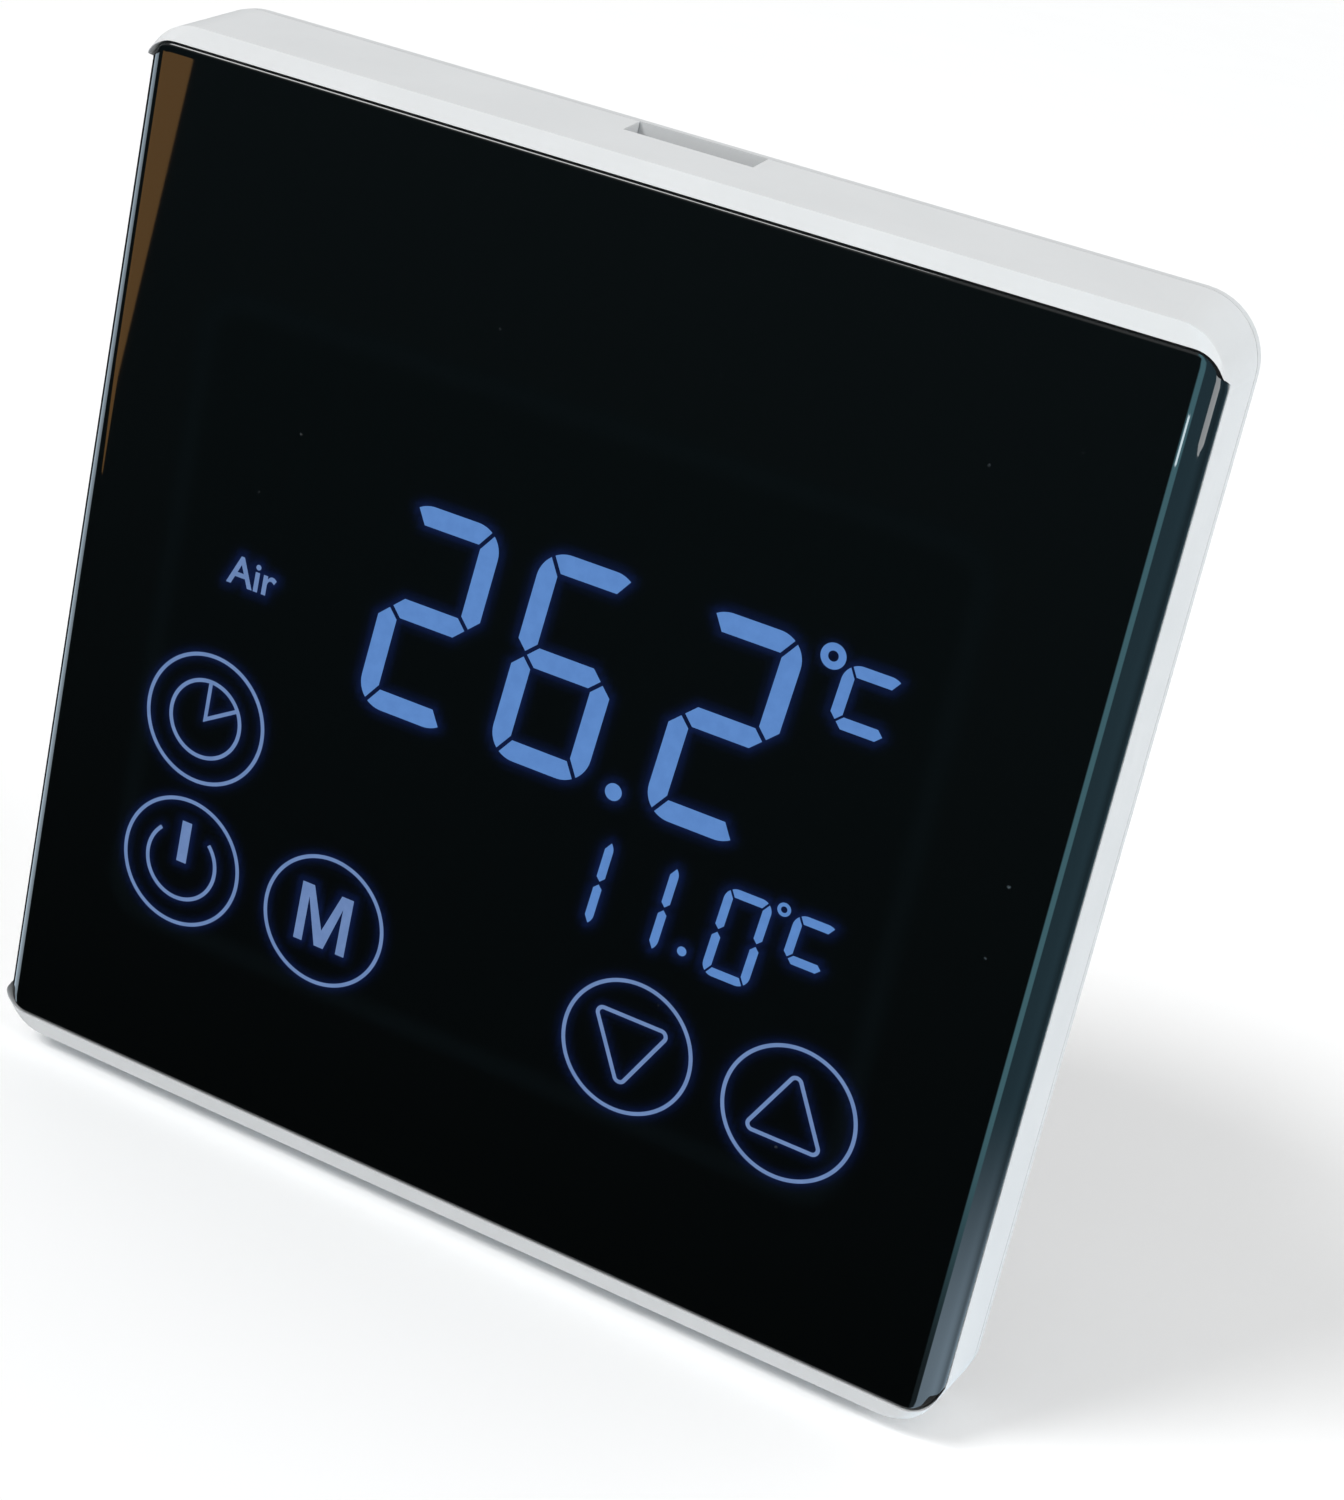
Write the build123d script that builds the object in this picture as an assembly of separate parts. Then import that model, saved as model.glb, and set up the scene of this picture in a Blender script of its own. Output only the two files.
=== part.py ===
from build123d import *
import os

# Flush-mounted wall thermostat with a black touch panel. Millimetres.
# The origin is the centre of the two fixing slots, in the plane of the wall.
# +X is to the right of someone facing the panel, +Z is up and the panel faces -Y.

# ---- driving sizes ------------------------------------------------------------------
# front cover
FRAME_WIDTH = 86.0          # white frame seen from the front, at its ridge
FRAME_HEIGHT = 86.0
FRAME_CORNER = 4.0
BACK_WIDTH = 86.6           # the frame where it meets the wall plate
BACK_HEIGHT = 88.4
BACK_CORNER = 5.0
COVER_FRONT = -9.0          # front face of the panel
RIDGE_SETBACK = 0.45        # ridge behind the panel's front face
PANEL_HEIGHT = 82.9
PANEL_CORNER = 2.5
PANEL_THICK = 2.0
PANEL_ROLL = 1.9            # radius rolled onto the panel's left and right edges
PANEL_BEVEL = 0.3
SHELL_WALL = 1.6
FRONT_WALL = 1.2
NOTCH_WIDTH = 10.5          # screwdriver notch in the top rim
NOTCH_DEPTH = 2.6
AIR_SLITS = 6
AIR_SLIT_LENGTH = 7.0
AIR_SLIT_WIDTH = 1.2
AIR_SLIT_PITCH = 10.0
AIR_SLIT_SETBACK = 5.9      # behind the panel's front face
BOND_INSET = 1.2            # lip of the seat that the panel's rim rests on

# display, behind the panel
WINDOW_WIDTH = 67.3
WINDOW_HEIGHT = 57.2
WINDOW_X = -1.35
WINDOW_Z = -1.0
LCD_MARGIN = 0.85           # glass beyond the window, each side
LCD_LAYER = 0.8             # one of the two glasses
LCD_LEDGE = 2.4             # rear glass left bare for the pins
LCD_PIN_EDGE = 4.5          # glass left bare beside the row of pins, each end
LCD_PIN_PITCH = 2.54
BACKLIGHT_THICK = 1.3
LED_STRIP = 2.0             # room at the right of the light block for its lamps
LED_PITCH = 18.0
TAIL_WIDTH = 12.0           # flat tail of the touch film
TAIL_NOTCH = 1.6
TAIL_PLUG = 2.6             # length of the tail inside its connector
HOLDER_WALL = 1.0
PIN_ROOM = 1.0              # above the glass, for the pins
BOARD_WIDTH = 78.0
BOARD_HEIGHT = 75.0
BOARD_THICK = 1.0
BOARD_SCREW_X = 33.0
BOARD_SCREW_Z = 34.4
BOARD_SCREW_RADIUS = 0.8
BOARD_SCREW_GRIP = 1.7      # thread in the housing's boss
BOARD_BOSS_RADIUS = 2.2
CHIP_X, CHIP_Z, CHIP_SIDE, CHIP_THICK = -11.0, 6.0, 10.0, 1.2
CHIP_FEET = 11
BUZZER_X, BUZZER_Z, BUZZER_RADIUS, BUZZER_RISE = 12.0, 7.0, 4.5, 3.0
CELL_X, CELL_Z, CELL_RADIUS, CELL_THICK = -9.0, -9.0, 6.25, 2.0
CRYSTAL_X, CRYSTAL_Z = 9.0, -6.0
SENSOR_X, SENSOR_Z = 20.0, -35.2

# wall plate
FLANGE = 0.9                # thickness of the edge that shows behind the cover
PLATE_THICK = 1.8
SCREW_PITCH = 60.0          # across the wall box
SLOT_WIDTH = 4.4
SLOT_LENGTH = 8.0
POCKET_WIDTH = 12.4         # sunk round each slot, for the screw's head
POCKET_HEIGHT = 8.4
POCKET_FLOOR = 1.2
POCKET_FRONT = -0.2
RECESS_DEPTH = 3.4          # tray in the middle of the plate, behind the wall plane
TRAY_FLOOR = 1.2
TRAY_WALL = 1.2
SCREW_SINK_RADIUS = 2.4     # room for the heads on the back of the display board
POST_WIDTH = 6.0            # catch posts that locate the cover
POST_THICK = 1.2
POST_RISE = 2.6
POST_X = 21.0
RIB = 1.2

# rear box and power board
BOX_WIDTH = 44.0
BOX_HEIGHT = 57.0
BOX_DEPTH = 29.0
BOX_CORNER = 2.0
BOX_WALL = 1.5
BOX_SEAT = 0.4              # depth of the groove in the wall plate's back that the tub's rim stands in
TERMINAL_ZONE = 15.0        # height of the step at the foot of the box
SHELF_THICK = 1.2
POWER_BOARD_FRONT = 9.0
POWER_BOARD_THICK = 1.6
CLAMP_SCREW_X = 16.8        # screws through tray, board and box
CLAMP_SCREW_TOP = 23.0
CLAMP_SCREW_LOW = -10.5
CLAMP_SCREW_RADIUS = 1.25
CLAMP_HEAD_RADIUS = 2.2
CLAMP_HEAD = 1.5
BOSS_RADIUS = 2.5
CLAMP_SCREW_REACH = 7.4     # thread beyond the power board
TRANSFORMER_X, TRANSFORMER_Z = -6.8, 17.8
CORE_SIDE, CORE_RISE, CORE_THICK = 16.0, 14.0, 5.0
CORE_LEG, CORE_MIDDLE, CORE_LIFT = 2.0, 4.4, 0.8
WINDING = 4.9               # depth of the winding beyond the core, each side
CAPACITOR_X, CAPACITOR_RADIUS, CAPACITOR_RISE = 9.6, 4.0, 12.5
CAPACITOR_ZS = (22.0, 12.6)
VENT_SLITS = 5
VENT_PITCH = 2.8
VENT_WIDTH = 1.2
VENT_LOW, VENT_HIGH = 2.0, 14.0

# header between the two halves
HEADER_COLUMNS = 8
HEADER_PITCH = 2.54
HEADER_Z = 20.0
PIN_SIDE = 0.64
SOCKET_HOLE = 0.9
SOCKET_DEPTH = 5.0

# terminals
TERMINALS = 6
TERMINAL_PITCH = 7.0
SCREW_RADIUS = 1.5
SCREW_HEAD_RADIUS = 2.0
CLAMP_TRAVEL = 2.5          # five turns of the screw
CAGE_WIDTH = 5.0
CAGE_HEIGHT = 5.0
CAGE_SIDE = 0.6

# relay
RELAY_LENGTH = 28.0
RELAY_HEIGHT = 12.7
RELAY_RISE = 15.7
RELAY_Z = -6.1
RELAY_WALL = 0.7
RELAY_BASE_THICK = 1.6
YOKE = 1.0
COIL_LENGTH = 14.0
COIL_RADIUS = 4.3
CORE_RADIUS = 1.6
POLE_RISE = 0.6             # core beyond the winding, under the armature
ARMATURE_THICK = 0.9
ARM_THICK = 0.5
CONTACT_RADIUS = 1.2
CONTACT_THICK = 0.8
CONTACT_GAP = 0.5
CONTACT_REACH = 7.2         # from the armature to the contacts

# named clearances
GAP = 0.1                   # parts laid side by side
FIT = 0.05                  # running fit, radial
SLIDE_GAP = 0.15            # parts that slide past each other
LOOSE = 0.3

# ---- places worked out from the sizes -----------------------------------------------
PANEL_BACK = COVER_FRONT + PANEL_THICK
FILM_THICK = 0.2
WALL_FRONT = PANEL_BACK + FILM_THICK
WALL_BACK = WALL_FRONT + FRONT_WALL
RIDGE_Y = COVER_FRONT + RIDGE_SETBACK
COVER_BACK = -FLANGE - GAP
GLASS_FRONT = WALL_FRONT + GAP
GLASS_MIDDLE = GLASS_FRONT + LCD_LAYER
GLASS_BACK = GLASS_MIDDLE + LCD_LAYER
LIGHT_BACK = GLASS_BACK + BACKLIGHT_THICK
BOARD_FRONT = LIGHT_BACK
BOARD_BACK = BOARD_FRONT + BOARD_THICK
GLASS_WIDTH = WINDOW_WIDTH + 2 * LCD_MARGIN
GLASS_HEIGHT = WINDOW_HEIGHT + 2 * LCD_MARGIN
LCD_PINS = int((GLASS_WIDTH - 2 * LCD_PIN_EDGE) / LCD_PIN_PITCH) + 1
HOLDER_WIDTH = GLASS_WIDTH + 2 * (GAP + HOLDER_WALL)
HOLDER_HEIGHT = GLASS_HEIGHT + 2 * (GAP + HOLDER_WALL) + PIN_ROOM
HOLDER_Z = WINDOW_Z + PIN_ROOM / 2
OPENING_WIDTH = HOLDER_WIDTH + 2 * SLIDE_GAP
OPENING_HEIGHT = HOLDER_HEIGHT + 2 * SLIDE_GAP
OPENING_FOOT = HOLDER_Z - OPENING_HEIGHT / 2
RECESS_WIDTH = BOX_WIDTH - 2 * BOX_WALL
RECESS_HEIGHT = BOX_HEIGHT - 2 * BOX_WALL
TRAY_BACK = RECESS_DEPTH + TRAY_FLOOR
POWER_BOARD_BACK = POWER_BOARD_FRONT + POWER_BOARD_THICK
CLAMP_SCREW_TIP = POWER_BOARD_BACK + CLAMP_SCREW_REACH
AIR_SLIT_Y = COVER_FRONT + AIR_SLIT_SETBACK
CAVITY_TOP = FRAME_HEIGHT / 2 - SHELL_WALL
POST_OUTER = CAVITY_TOP - 1.8
BOARD_SCREW_TIP = BOARD_FRONT - BOARD_SCREW_GRIP
POST_FRONT = -PLATE_THICK - POST_RISE
TAIL_BACK = OPENING_FOOT - 0.9
TAIL_FOOT_Y = BOARD_FRONT - 0.5
BOX_BACK_INNER = BOX_DEPTH - BOX_WALL
BOX_FOOT = -BOX_HEIGHT / 2
STEP_Z = BOX_FOOT + TERMINAL_ZONE
SHELF_FRONT = POWER_BOARD_BACK + LOOSE
SHELF_BACK = SHELF_FRONT + SHELF_THICK
CLAMP_SCREWS = [(side * CLAMP_SCREW_X, z) for side in (-1, 1) for z in (CLAMP_SCREW_TOP, CLAMP_SCREW_LOW)]
PIN_XS = [(i - (HEADER_COLUMNS - 1) / 2) * HEADER_PITCH for i in range(HEADER_COLUMNS)]
PIN_ZS = [HEADER_Z - HEADER_PITCH / 2, HEADER_Z + HEADER_PITCH / 2]


# ---- small makers -------------------------------------------------------------------
def block(x0, x1, y0, y1, z0, z1):
    """A box between two corners."""
    return Pos((x0 + x1) / 2, (y0 + y1) / 2, (z0 + z1) / 2) * Box(x1 - x0, y1 - y0, z1 - z0)


def facing_front(y, x=0.0, z=0.0):
    """A drawing plane across Y, seen from the front: its X is the object's X and its Y is up."""
    return Plane(origin=(x, y, z), x_dir=(1, 0, 0), z_dir=(0, -1, 0))


def slab(width, height, corner, front, back, x=0.0, z=0.0):
    """A rounded rectangle, seen from the front, running from front to back."""
    return extrude(facing_front(back, x, z) * RectangleRounded(width, height, corner), amount=back - front)


def rod(x, z, radius, front, back):
    """A round bar that points along Y."""
    return Pos(x, (front + back) / 2, z) * Rot(90, 0, 0) * Cylinder(radius, back - front)


def cross_slot(x, z, half_length, half_width, front, back):
    """Two crossed grooves for a screwdriver."""
    return (
        block(x - half_length, x + half_length, front, back, z - half_width, z + half_width)
        + block(x - half_width, x + half_width, front, back, z - half_length, z + half_length)
    )


def header_bar(front, back):
    """Outline shared by the pin header and its socket."""
    half_x = HEADER_COLUMNS * HEADER_PITCH / 2
    return block(-half_x, half_x, front, back, HEADER_Z - HEADER_PITCH, HEADER_Z + HEADER_PITCH)


def pin_places(side, front, back):
    """A square bar at each pin of the header."""
    half = side / 2
    return [block(x - half, x + half, front, back, z - half, z + half) for x in PIN_XS for z in PIN_ZS]


def tapered(back_size, back_corner, back, front_size, front_corner, front):
    """A rounded rectangle at the back drawn into another at the front."""
    rear = facing_front(back) * RectangleRounded(*back_size, back_corner)
    face = facing_front(front) * RectangleRounded(*front_size, front_corner)
    return loft([rear.face(), face.face()], ruled=True)


def hollow_size(y):
    """Width and height of the cover's tapering hollow at a depth."""
    share = (y - COVER_BACK) / (WALL_BACK - COVER_BACK)
    width = BACK_WIDTH + share * (FRAME_WIDTH - BACK_WIDTH)
    height = BACK_HEIGHT + share * (FRAME_HEIGHT - BACK_HEIGHT)
    return width - 2 * SHELL_WALL, height - 2 * SHELL_WALL


def save(shape, node):
    """One STEP file for one named piece."""
    export_step(shape, f"parts/{node}.step")


def group(pieces):
    """Separate solids kept under one name."""
    return Compound(children=list(pieces))


# ---- front cover --------------------------------------------------------------------
def touch_panel():
    """Black sheet: rolled at the left and right, bevelled above and below."""
    front = COVER_FRONT
    half = FRAME_WIDTH / 2
    rolled = block(-half, half, front, PANEL_BACK, -PANEL_HEIGHT / 2, PANEL_HEIGHT / 2)
    upright_edges = rolled.edges().filter_by(Axis.Z).group_by(Axis.Y)[0]
    rolled = fillet(upright_edges, PANEL_ROLL)
    section = Plane.YZ * Polyline(
        (PANEL_BACK, -PANEL_HEIGHT / 2),
        (front + PANEL_BEVEL, -PANEL_HEIGHT / 2),
        (front, -PANEL_HEIGHT / 2 + PANEL_BEVEL),
        (front, PANEL_HEIGHT / 2 - PANEL_BEVEL),
        (front + PANEL_BEVEL, PANEL_HEIGHT / 2),
        (PANEL_BACK, PANEL_HEIGHT / 2),
        close=True,
    )
    bevelled = extrude(make_face(section), amount=half, both=True)
    return slab(FRAME_WIDTH, PANEL_HEIGHT, PANEL_CORNER, front, PANEL_BACK) & rolled & bevelled


def front_housing():
    """White shell: flared sides, sloped bands above and below the panel, window for the display."""
    ridge = (FRAME_WIDTH, FRAME_HEIGHT)
    rear = (BACK_WIDTH, BACK_HEIGHT)
    shell = tapered(rear, BACK_CORNER, COVER_BACK, ridge, FRAME_CORNER, RIDGE_Y)
    band_front = (FRAME_WIDTH, PANEL_HEIGHT + 2 * GAP)
    shell += tapered(ridge, FRAME_CORNER, RIDGE_Y, band_front, PANEL_CORNER, COVER_FRONT)
    inner_corners = (BACK_CORNER - SHELL_WALL, FRAME_CORNER - SHELL_WALL)
    shell -= tapered(
        hollow_size(COVER_BACK), inner_corners[0], COVER_BACK,
        hollow_size(WALL_BACK), inner_corners[1], WALL_BACK)
    # the panel's seat, open at the left and right
    seat_corner = PANEL_CORNER + GAP
    shell -= slab(FRAME_WIDTH + 2 * GAP, PANEL_HEIGHT + 2 * GAP, seat_corner, COVER_FRONT - GAP, PANEL_BACK)
    open_half = PANEL_HEIGHT / 2 - FRAME_CORNER
    shell -= block(-BACK_WIDTH, BACK_WIDTH, COVER_FRONT - GAP, PANEL_BACK, -open_half, open_half)
    # step for the adhesive, behind the panel
    bond_width = FRAME_WIDTH - 2 * BOND_INSET
    bond_height = PANEL_HEIGHT - 2 * BOND_INSET
    shell -= slab(bond_width, bond_height, PANEL_CORNER, COVER_FRONT, WALL_FRONT)
    shell -= display_opening(COVER_FRONT, WALL_BACK + GAP)
    # screwdriver notch, open towards the wall
    half_notch = NOTCH_WIDTH / 2
    notch_front = COVER_BACK - NOTCH_DEPTH
    rim_low = CAVITY_TOP - SHELL_WALL
    shell -= block(-half_notch, half_notch, notch_front, COVER_BACK + GAP, rim_low, BACK_HEIGHT)
    # air slits underneath
    for i in range(AIR_SLITS):
        x = (i - (AIR_SLITS - 1) / 2) * AIR_SLIT_PITCH
        y = AIR_SLIT_Y
        shell -= block(
            x - AIR_SLIT_LENGTH / 2, x + AIR_SLIT_LENGTH / 2,
            y - AIR_SLIT_WIDTH / 2, y + AIR_SLIT_WIDTH / 2, -BACK_HEIGHT, -rim_low,
        )
    # ribs that rest against the wall plate's posts
    rib_root = hollow_size(POST_FRONT)[1] / 2 + SHELL_WALL / 2
    for side in (-1, 1):
        for x in (-POST_X, POST_X):
            low, high = sorted((side * rib_root, side * (POST_OUTER + SLIDE_GAP)))
            shell += block(x - RIB / 2, x + RIB / 2, POST_FRONT, -PLATE_THICK - SLIDE_GAP, low, high)
    # bosses for the display board
    for x, z in board_screw_places():
        shell += rod(x, z, BOARD_BOSS_RADIUS, WALL_BACK - GAP, BOARD_FRONT)
        shell -= rod(x, z, BOARD_SCREW_RADIUS, BOARD_SCREW_TIP - LOOSE, BOARD_FRONT + GAP)
    return shell


def display_opening(front, back):
    """Room for the display's holder, with a notch below it for the film's tail."""
    half = TAIL_WIDTH / 2 + LOOSE
    low = OPENING_FOOT - TAIL_NOTCH
    notch = block(WINDOW_X - half, WINDOW_X + half, front, back, low, OPENING_FOOT + GAP)
    return slab(OPENING_WIDTH, OPENING_HEIGHT, 1.0, front, back, WINDOW_X, HOLDER_Z) + notch


def board_screw_places():
    return [(sx * BOARD_SCREW_X, sz * BOARD_SCREW_Z) for sx in (-1, 1) for sz in (-1, 1)]


def panel_adhesive():
    """Frame of adhesive between the panel and the housing."""
    width = FRAME_WIDTH - 2 * (BOND_INSET + GAP)
    height = PANEL_HEIGHT - 2 * (BOND_INSET + GAP)
    sheet = slab(width, height, PANEL_CORNER - GAP, PANEL_BACK, WALL_FRONT)
    return sheet - display_opening(PANEL_BACK - GAP, WALL_FRONT + GAP)


def touch_film():
    """Clear sensing film behind the panel, with a tail that turns back to the display board."""
    film = slab(GLASS_WIDTH, GLASS_HEIGHT, 1.0, PANEL_BACK, WALL_FRONT, WINDOW_X, WINDOW_Z)
    x0 = WINDOW_X - TAIL_WIDTH / 2
    x1 = WINDOW_X + TAIL_WIDTH / 2
    glass_foot = WINDOW_Z - GLASS_HEIGHT / 2
    film += block(x0, x1, PANEL_BACK, WALL_FRONT, TAIL_BACK, glass_foot + 1.0)
    film += block(x0, x1, PANEL_BACK, TAIL_FOOT_Y, TAIL_BACK, TAIL_BACK + FILM_THICK)
    tail_end = TAIL_BACK - TAIL_PLUG
    film += block(x0, x1, TAIL_FOOT_Y - FILM_THICK, TAIL_FOOT_Y, tail_end, TAIL_BACK + FILM_THICK)
    return film


def tail_connector():
    """Flat socket on the display board that the film's tail plugs into."""
    half = TAIL_WIDTH / 2
    low = TAIL_BACK - TAIL_PLUG - GAP
    top = TAIL_BACK - 0.8
    body = block(WINDOW_X - half - 1, WINDOW_X + half + 1, BOARD_FRONT - 1.1, BOARD_FRONT, low - 0.9, top)
    film_front = TAIL_FOOT_Y - FILM_THICK - FIT
    mouth = block(WINDOW_X - half - FIT, WINDOW_X + half + FIT, film_front, TAIL_FOOT_Y + FIT, low, top + GAP)
    return body - mouth


def lcd_front_glass():
    height = GLASS_HEIGHT - LCD_LEDGE
    return slab(GLASS_WIDTH, height, 0.5, GLASS_FRONT, GLASS_MIDDLE, WINDOW_X, WINDOW_Z - LCD_LEDGE / 2)


def lcd_rear_glass():
    return slab(GLASS_WIDTH, GLASS_HEIGHT, 0.5, GLASS_MIDDLE, GLASS_BACK, WINDOW_X, WINDOW_Z)


def lcd_pins():
    """Clip-on pins along the ledge, each a finger on the glass and a leg to the board."""
    top = WINDOW_Z + GLASS_HEIGHT / 2
    half = 0.25
    front = GLASS_MIDDLE - half
    pins = []
    for i in range(LCD_PINS):
        x = WINDOW_X + (i - (LCD_PINS - 1) / 2) * LCD_PIN_PITCH
        finger = block(x - half, x + half, front, GLASS_MIDDLE, top - 1.8, top + GAP)
        leg = block(x - half, x + half, front, BOARD_FRONT, top, top + 0.35)
        pins.append(finger + leg)
    return group(pins)


def lcd_holder():
    """Moulded frame that keeps the glass and the light block together on the board."""
    frame = slab(HOLDER_WIDTH, HOLDER_HEIGHT, 0.8, GLASS_FRONT, BOARD_FRONT, WINDOW_X, HOLDER_Z)
    inner_width = HOLDER_WIDTH - 2 * HOLDER_WALL
    inner_height = HOLDER_HEIGHT - 2 * HOLDER_WALL
    front = GLASS_FRONT - GAP
    return frame - slab(inner_width, inner_height, 0.2, front, BOARD_FRONT + GAP, WINDOW_X, HOLDER_Z)


def backlight_block():
    """Clear block that spreads the lamps' light behind the glass."""
    x = WINDOW_X - LED_STRIP / 2
    height = GLASS_HEIGHT - 2 * SLIDE_GAP
    return slab(GLASS_WIDTH - LED_STRIP, height, 0.5, GLASS_BACK, LIGHT_BACK, x, WINDOW_Z - SLIDE_GAP)


def backlight_leds():
    """Side-looking lamps at the right of the light block."""
    x1 = WINDOW_X + GLASS_WIDTH / 2 - SLIDE_GAP
    x0 = x1 - LED_STRIP + 2 * SLIDE_GAP
    front = BOARD_FRONT - 0.9
    middles = [WINDOW_Z + step * LED_PITCH for step in (-1, 0, 1)]
    return group(block(x0, x1, front, BOARD_FRONT, z - 1.9, z + 1.9) for z in middles)


def display_board():
    board = slab(BOARD_WIDTH, BOARD_HEIGHT, 2.0, BOARD_FRONT, BOARD_BACK)
    for x, z in board_screw_places():
        board -= rod(x, z, BOARD_SCREW_RADIUS + LOOSE, BOARD_FRONT - GAP, BOARD_BACK + GAP)
    return board


def display_board_screws():
    """Self-tapping screws with pan heads and cross slots."""
    screws = []
    for x, z in board_screw_places():
        screw = rod(x, z, BOARD_SCREW_RADIUS, BOARD_SCREW_TIP, BOARD_BACK)
        screw += rod(x, z, 1.8, BOARD_BACK, BOARD_BACK + 0.8)
        screws.append(screw - cross_slot(x, z, 1.0, 0.2, BOARD_BACK + 0.4, BOARD_BACK + 1.0))
    return group(screws)


def control_chip():
    """Square flat package with a row of feet on each side."""
    body = slab(CHIP_SIDE, CHIP_SIDE, 0.3, BOARD_BACK + GAP, BOARD_BACK + CHIP_THICK, CHIP_X, CHIP_Z)
    reach = CHIP_SIDE / 2 + 1
    foot_back = BOARD_BACK + 2 * GAP
    for i in range(CHIP_FEET):
        step = (i - (CHIP_FEET - 1) / 2) * 0.8
        z0, z1 = CHIP_Z + step - 0.15, CHIP_Z + step + 0.15
        x0, x1 = CHIP_X + step - 0.15, CHIP_X + step + 0.15
        body += block(CHIP_X - reach, CHIP_X + reach, BOARD_BACK, foot_back, z0, z1)
        body += block(x0, x1, BOARD_BACK, foot_back, CHIP_Z - reach, CHIP_Z + reach)
    return body


def board_socket():
    """Socket on the display board's back, one hole for each header pin."""
    mouth = BOARD_BACK + SOCKET_DEPTH
    return header_bar(BOARD_BACK, mouth) - group(pin_places(SOCKET_HOLE, BOARD_BACK + 0.6, mouth + GAP))


def buzzer():
    body = rod(BUZZER_X, BUZZER_Z, BUZZER_RADIUS, BOARD_BACK, BOARD_BACK + BUZZER_RISE)
    return body - rod(BUZZER_X, BUZZER_Z, 0.8, BOARD_BACK + 1.5, BOARD_BACK + BUZZER_RISE + GAP)


def clock_cell():
    cell = rod(CELL_X, CELL_Z, CELL_RADIUS, BOARD_BACK + 0.4, BOARD_BACK + 0.4 + CELL_THICK)
    rim = cell.edges().filter_by(GeomType.CIRCLE).group_by(Axis.Y)[-1]
    return fillet(rim, 0.4)


def cell_holder():
    """Ring of plastic with a metal-thin bridge over the cell."""
    back = BOARD_BACK + 0.4 + CELL_THICK
    outer = slab(15.0, 14.2, 2.0, BOARD_BACK, back, CELL_X, CELL_Z)
    outer -= rod(CELL_X, CELL_Z, CELL_RADIUS + GAP, BOARD_BACK + 0.4, back + GAP)
    bridge = block(CELL_X - 7.5, CELL_X + 7.5, back, back + 0.4, CELL_Z - 1.5, CELL_Z + 1.5)
    return outer + bridge


def crystal():
    return slab(8.0, 3.2, 1.5, BOARD_BACK, BOARD_BACK + 2.2, CRYSTAL_X, CRYSTAL_Z)


def air_sensor():
    """Bead on two legs, at the foot of the board over the air slits."""
    bead = Pos(SENSOR_X, BOARD_FRONT - 0.9, SENSOR_Z) * Sphere(0.75)
    half = 0.12
    for x in (SENSOR_X - 0.4, SENSOR_X + 0.4):
        bead += block(x - half, x + half, BOARD_FRONT - 0.9, BOARD_FRONT, SENSOR_Z - half, SENSOR_Z + half)
    return bead


# ---- wall unit ----------------------------------------------------------------------
def wall_plate():
    """Flange, sunk tray, sunk screw pockets and four catch posts, moulded in one."""
    plate = slab(BACK_WIDTH, BACK_HEIGHT, BACK_CORNER, -FLANGE, 0)
    middle_width, middle_height = (side - 2 * LOOSE for side in hollow_size(-PLATE_THICK))
    plate += slab(middle_width, middle_height, BACK_CORNER - SHELL_WALL - LOOSE, -PLATE_THICK, 0)
    for side in (-1, 1):
        x = side * SCREW_PITCH / 2
        pad_width = POCKET_WIDTH + 2 * POCKET_FLOOR
        pad_height = POCKET_HEIGHT + 2 * POCKET_FLOOR
        plate += slab(pad_width, pad_height, 1.5, -FLANGE, POCKET_FRONT + POCKET_FLOOR, x, 0)
        plate -= slab(POCKET_WIDTH, POCKET_HEIGHT, 1.0, -PLATE_THICK - GAP, POCKET_FRONT, x, 0)
        plate -= slot_hole(x)
    # tray
    plate += slab(BOX_WIDTH, BOX_HEIGHT, BOX_CORNER, -FLANGE, 0)
    plate -= slab(BOX_WIDTH + 2 * GAP, BOX_HEIGHT + 2 * GAP, BOX_CORNER + GAP, -BOX_SEAT, GAP)
    plate += slab(RECESS_WIDTH - 2 * GAP, RECESS_HEIGHT - 2 * GAP, 1.0, -FLANGE, TRAY_BACK)
    margin = 2 * (GAP + TRAY_WALL)
    plate -= slab(RECESS_WIDTH - margin, RECESS_HEIGHT - margin, 1.0, -PLATE_THICK - GAP, RECESS_DEPTH)
    slot_x = HEADER_COLUMNS * HEADER_PITCH / 2 + LOOSE
    slot_z = HEADER_PITCH + LOOSE
    plate -= block(-slot_x, slot_x, RECESS_DEPTH - GAP, TRAY_BACK + GAP, HEADER_Z - slot_z, HEADER_Z + slot_z)
    for x, z in CLAMP_SCREWS:
        plate += rod(x, z, BOSS_RADIUS, TRAY_BACK - GAP, POWER_BOARD_FRONT)
        plate -= rod(x, z, CLAMP_SCREW_RADIUS + GAP, RECESS_DEPTH - GAP, POWER_BOARD_FRONT + GAP)
    # sinkings for the display board's screw heads
    for x, z in board_screw_places():
        plate -= rod(x, z, SCREW_SINK_RADIUS, -PLATE_THICK - GAP, -FLANGE)
    # catch posts
    for side in (-1, 1):
        low, high = sorted((side * POST_OUTER, side * (POST_OUTER - POST_THICK)))
        for x in (-POST_X, POST_X):
            plate += block(x - POST_WIDTH / 2, x + POST_WIDTH / 2, POST_FRONT, -FLANGE, low, high)
    return plate


def slot_hole(x):
    """Slot that runs along X, cut through a pocket's floor."""
    back = POCKET_FRONT + POCKET_FLOOR
    plane = Plane(origin=(x, back + GAP, 0), x_dir=(1, 0, 0), z_dir=(0, -1, 0))
    return extrude(plane * SlotOverall(SLOT_LENGTH, SLOT_WIDTH), amount=POCKET_FLOOR + 2 * GAP)


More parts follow.
